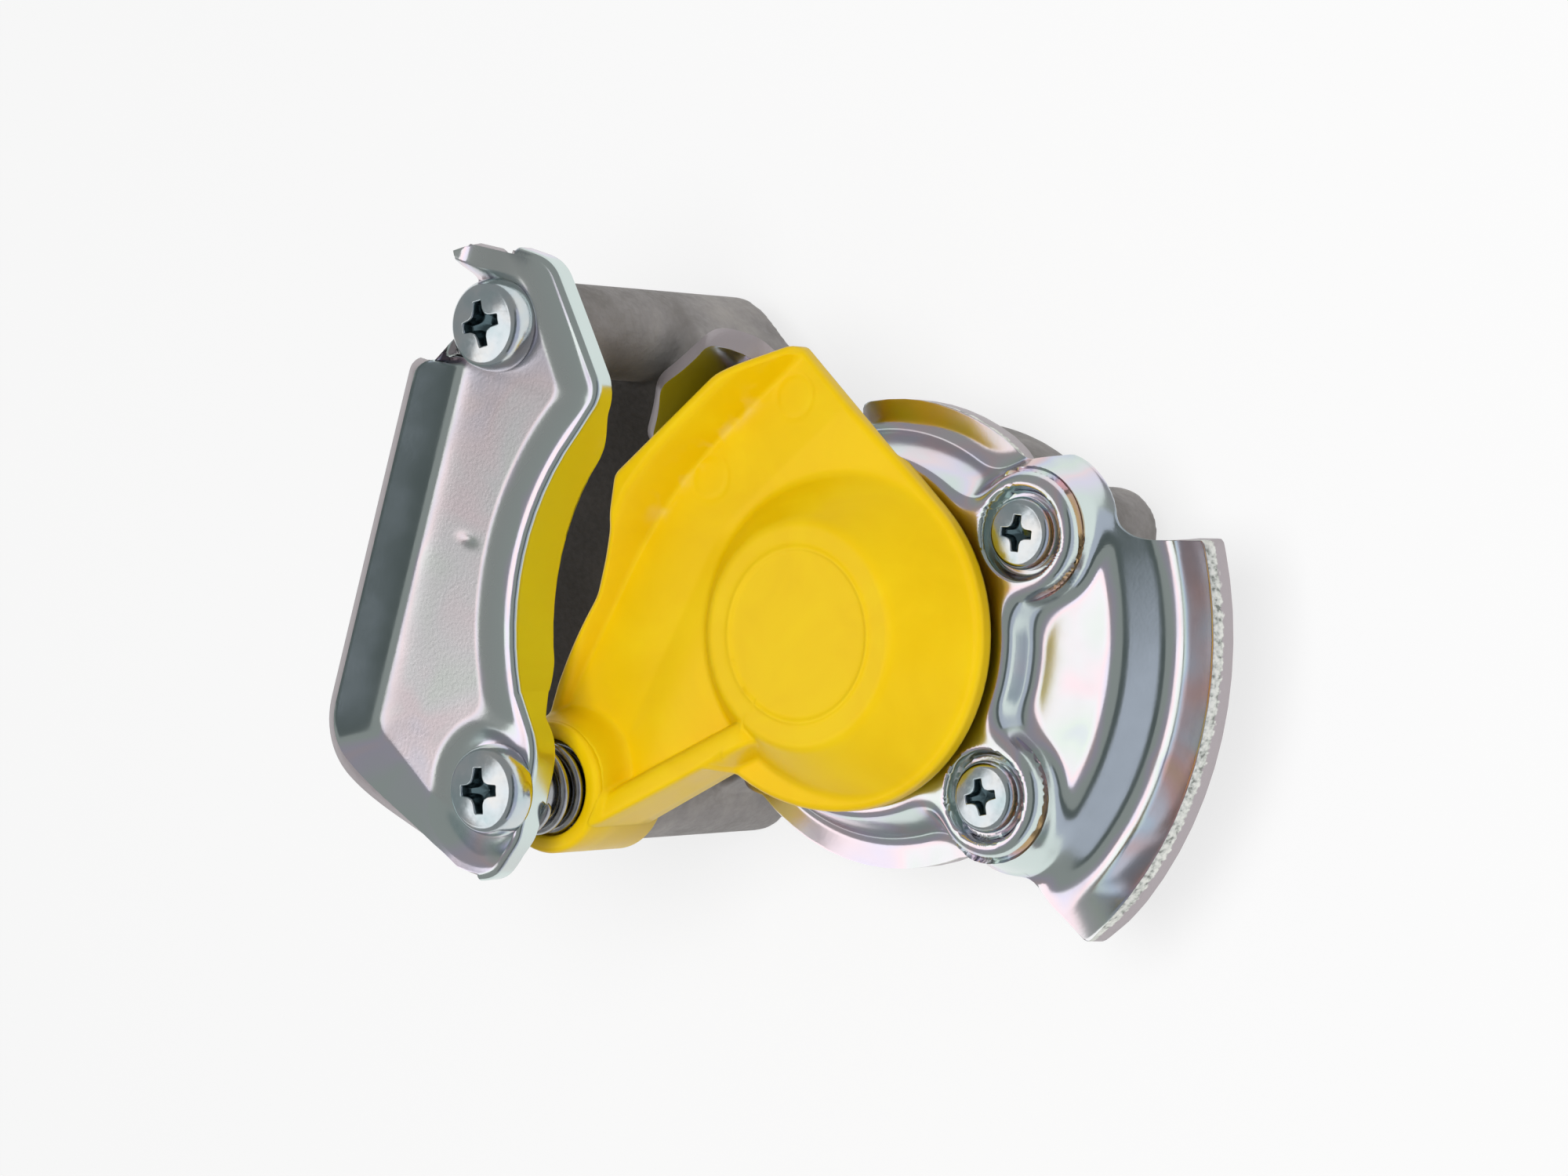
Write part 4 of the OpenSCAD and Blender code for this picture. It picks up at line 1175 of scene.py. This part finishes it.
class COUPLING_OT_pivot(bpy.types.Operator):
    """Pivot: the steel sleeve that the cover turns on, and the coil spring round it."""

    bl_idname = "coupling.pivot"
    bl_label = "Pivot sleeve and spring"

    def execute(self, context):
        material = spring_wire()
        mesh = new_mesh("sleeve", *round_surface(sleeve_grid()))
        new_piece("sleeve", mesh, [material], HEAD, "spring_steel", "pivot_sleeve")
        points, quads = round_surface(spring_grid())
        mesh = new_mesh("spring", points, quads[:, ::-1])
        new_piece("spring", mesh, [material], HEAD, "spring_steel", "torsion_spring")
        return {"FINISHED"}


class COUPLING_OT_seal(bpy.types.Operator):
    """Face seal: a revolved rubber ring with a rounded sealing lip."""

    bl_idname = "coupling.seal"
    bl_label = "Face seal"

    def execute(self, context):
        mesh = new_mesh("face_seal", *round_surface(seal_grid()))
        new_piece("face_seal", mesh, [seal_rubber()], HEAD, "seal_rubber", "seal_ring")
        return {"FINISHED"}


# Stage, in metres

FLOOR_REACH = 3.0
FLOOR_GLOW = 0.74
SKY_GLOW = 0.32
TARGET = Vector((-6.9, 4.0, 37.0)) * MM
# Place, size and power
LAMPS = {
    "main": ((0.22, 0.14, 0.9), 0.5, 5.8),
    "fill": ((0.9, -0.3, 0.22), 0.5, 1.3),
}
# Middle, half of each of two sides, colour and glow
CARDS = {
    "dark_card": ((0.5, 0.0, 0.37), (0.0, 0.7, 0.0), (0.0, 0.0, 0.125), "#e4f0f3", 0.12),
    "low_card": ((0.5, 0.0, 0.13), (0.0, 0.7, 0.0), (0.0, 0.0, 0.11), "#dcdcf0", 0.75),
    "bright_card": (
        (-0.297, -0.242, 0.712), (-0.12, -0.303, -0.134), (0.164, -0.115, 0.115), "#fffafa", 1.28
    ),
}


def flat_piece(name, middle, side, rise):
    """A rectangle, given by its middle and half of each of two sides."""
    middle, side, rise = Vector(middle), Vector(side), Vector(rise)
    corners = [middle - side - rise, middle + side - rise, middle + side + rise, middle - side + rise]
    mesh = bpy.data.meshes.new(name)
    mesh.from_pydata(corners, [], [(0, 1, 2, 3)])
    piece = bpy.data.objects.new(name, mesh)
    bpy.context.scene.collection.objects.link(piece)
    return piece


class COUPLING_OT_stage(bpy.types.Operator):
    """Stage: pale floor, soft light from above, cards for the metal to mirror, and the camera."""

    bl_idname = "coupling.stage"
    bl_label = "Stage"

    def execute(self, context):
        scene = context.scene
        scene.view_settings.view_transform = "Standard"
        self.floor()
        self.world(scene)
        for name, values in LAMPS.items():
            self.lamp(scene, name, *values)
        for name, values in CARDS.items():
            self.card(name, *values)
        self.camera(scene)
        return {"FINISHED"}

    def floor(self):
        """A matt floor that glows a little for the camera and in mirrors, so that it is near white."""
        floor = flat_piece("floor", (0, 0, 0), (FLOOR_REACH, 0, 0), (0, FLOOR_REACH, 0))
        material = bpy.data.materials.new("studio_floor")
        material.use_nodes = True
        tree = material.node_tree
        tree.nodes.remove(tree.nodes["Principled BSDF"])
        add = partial(add_node, tree)
        matt = add("BsdfDiffuse", {"Color": linear(settings().finish.floor)})
        glow = add("Emission", {"Color": linear("#ffffff"), "Strength": 1.0})
        camera = add("LightPath", {}, out="Is Camera Ray")
        mirror = add("LightPath", {}, out="Is Glossy Ray")
        seen = add("Math", {0: camera, 1: mirror}, operation="MAXIMUM")
        share = add("Math", {0: seen, 1: FLOOR_GLOW}, operation="MULTIPLY")
        mix = add("MixShader", {0: share, 1: matt, 2: glow})
        connect(tree, tree.nodes["Material Output"], {"Surface": mix})
        floor.data.materials.append(material)

    def world(self, scene):
        world = bpy.data.worlds.new("studio")
        world.use_nodes = True
        sky = world.node_tree.nodes["Background"]
        connect(world.node_tree, sky, {"Color": linear("#ffffff"), "Strength": SKY_GLOW})
        scene.world = world

    def lamp(self, scene, name, place, size, power):
        """A soft lamp that looks at the part and that mirrors don't show."""
        lamp = bpy.data.lights.new(name, "AREA")
        lamp.size = size
        lamp.energy = power
        light = bpy.data.objects.new(name, lamp)
        light.location = place
        light.rotation_euler = (-Vector(place)).to_track_quat("-Z", "Y").to_euler()
        light.visible_glossy = False
        scene.collection.objects.link(light)

    def card(self, name, middle, side, rise, colour, glow):
        """A card that only mirrors show: it gives the plated sheet its dark or its bright side."""
        card = flat_piece(name, middle, side, rise)
        material, add, shade, place = new_material(name)
        shade({"Base Color": linear("#000000"), "Roughness": 1.0})
        shade({"Emission Color": linear(colour), "Emission Strength": glow})
        card.data.materials.append(material)
        card.visible_camera = False
        card.visible_diffuse = False
        card.visible_shadow = False

    def camera(self, scene):
        size = settings().stage
        lens = bpy.data.cameras.new("camera")
        lens.lens = size.lens
        lens.sensor_width = 36.0
        lens.clip_start = 0.01
        camera = bpy.data.objects.new("camera", lens)
        up = Vector((math.cos(size.roll_dir), math.sin(size.roll_dir), 0.0))
        side = up.cross(Vector((0, 0, 1)))
        back = math.sin(size.tilt) * side + math.cos(size.tilt) * Vector((0, 0, 1))
        turn = Matrix((up.cross(back), up, back)).transposed()
        camera.matrix_world = Matrix.Translation(TARGET + back * size.distance) @ turn.to_4x4()
        scene.collection.objects.link(camera)
        scene.camera = camera


class COUPLING_PT_panel(bpy.types.Panel):
    """Lists the pieces of the coupling head and its settings."""

    bl_label = "Coupling head"
    bl_idname = "COUPLING_PT_panel"
    bl_space_type = "VIEW_3D"
    bl_region_type = "UI"
    bl_category = "Coupling"

    def draw(self, context):
        for operator in OPERATORS:
            self.layout.operator(operator.bl_idname)
        for group in ("sheet", "mould", "finish", "stage"):
            box = self.layout.box()
            values = getattr(context.scene.coupling, group)
            for name in values.__annotations__:
                box.prop(values, name)


GROUPS = (SheetSizes, MouldSizes, Finishes, StageSizes, CouplingSettings)
OPERATORS = (
    COUPLING_OT_casting,
    COUPLING_OT_face_plate,
    COUPLING_OT_claw,
    COUPLING_OT_screws,
    COUPLING_OT_pivot,
    COUPLING_OT_seal,
    COUPLING_OT_cover,
    COUPLING_OT_stage,
)
CLASSES = (*GROUPS, *OPERATORS, COUPLING_PT_panel)


def register():
    for cls in CLASSES:
        bpy.utils.register_class(cls)
    bpy.types.Scene.coupling = PointerProperty(type=CouplingSettings)


def unregister():
    del bpy.types.Scene.coupling
    for cls in reversed(CLASSES):
        bpy.utils.unregister_class(cls)


def main():
    register()
    bpy.ops.coupling.casting()
    bpy.ops.coupling.face_plate()
    bpy.ops.coupling.claw()
    bpy.ops.coupling.screws()
    bpy.ops.coupling.pivot()
    bpy.ops.coupling.seal()
    bpy.ops.coupling.cover()
    bpy.ops.coupling.stage()


if __name__ == "__main__":
    main()
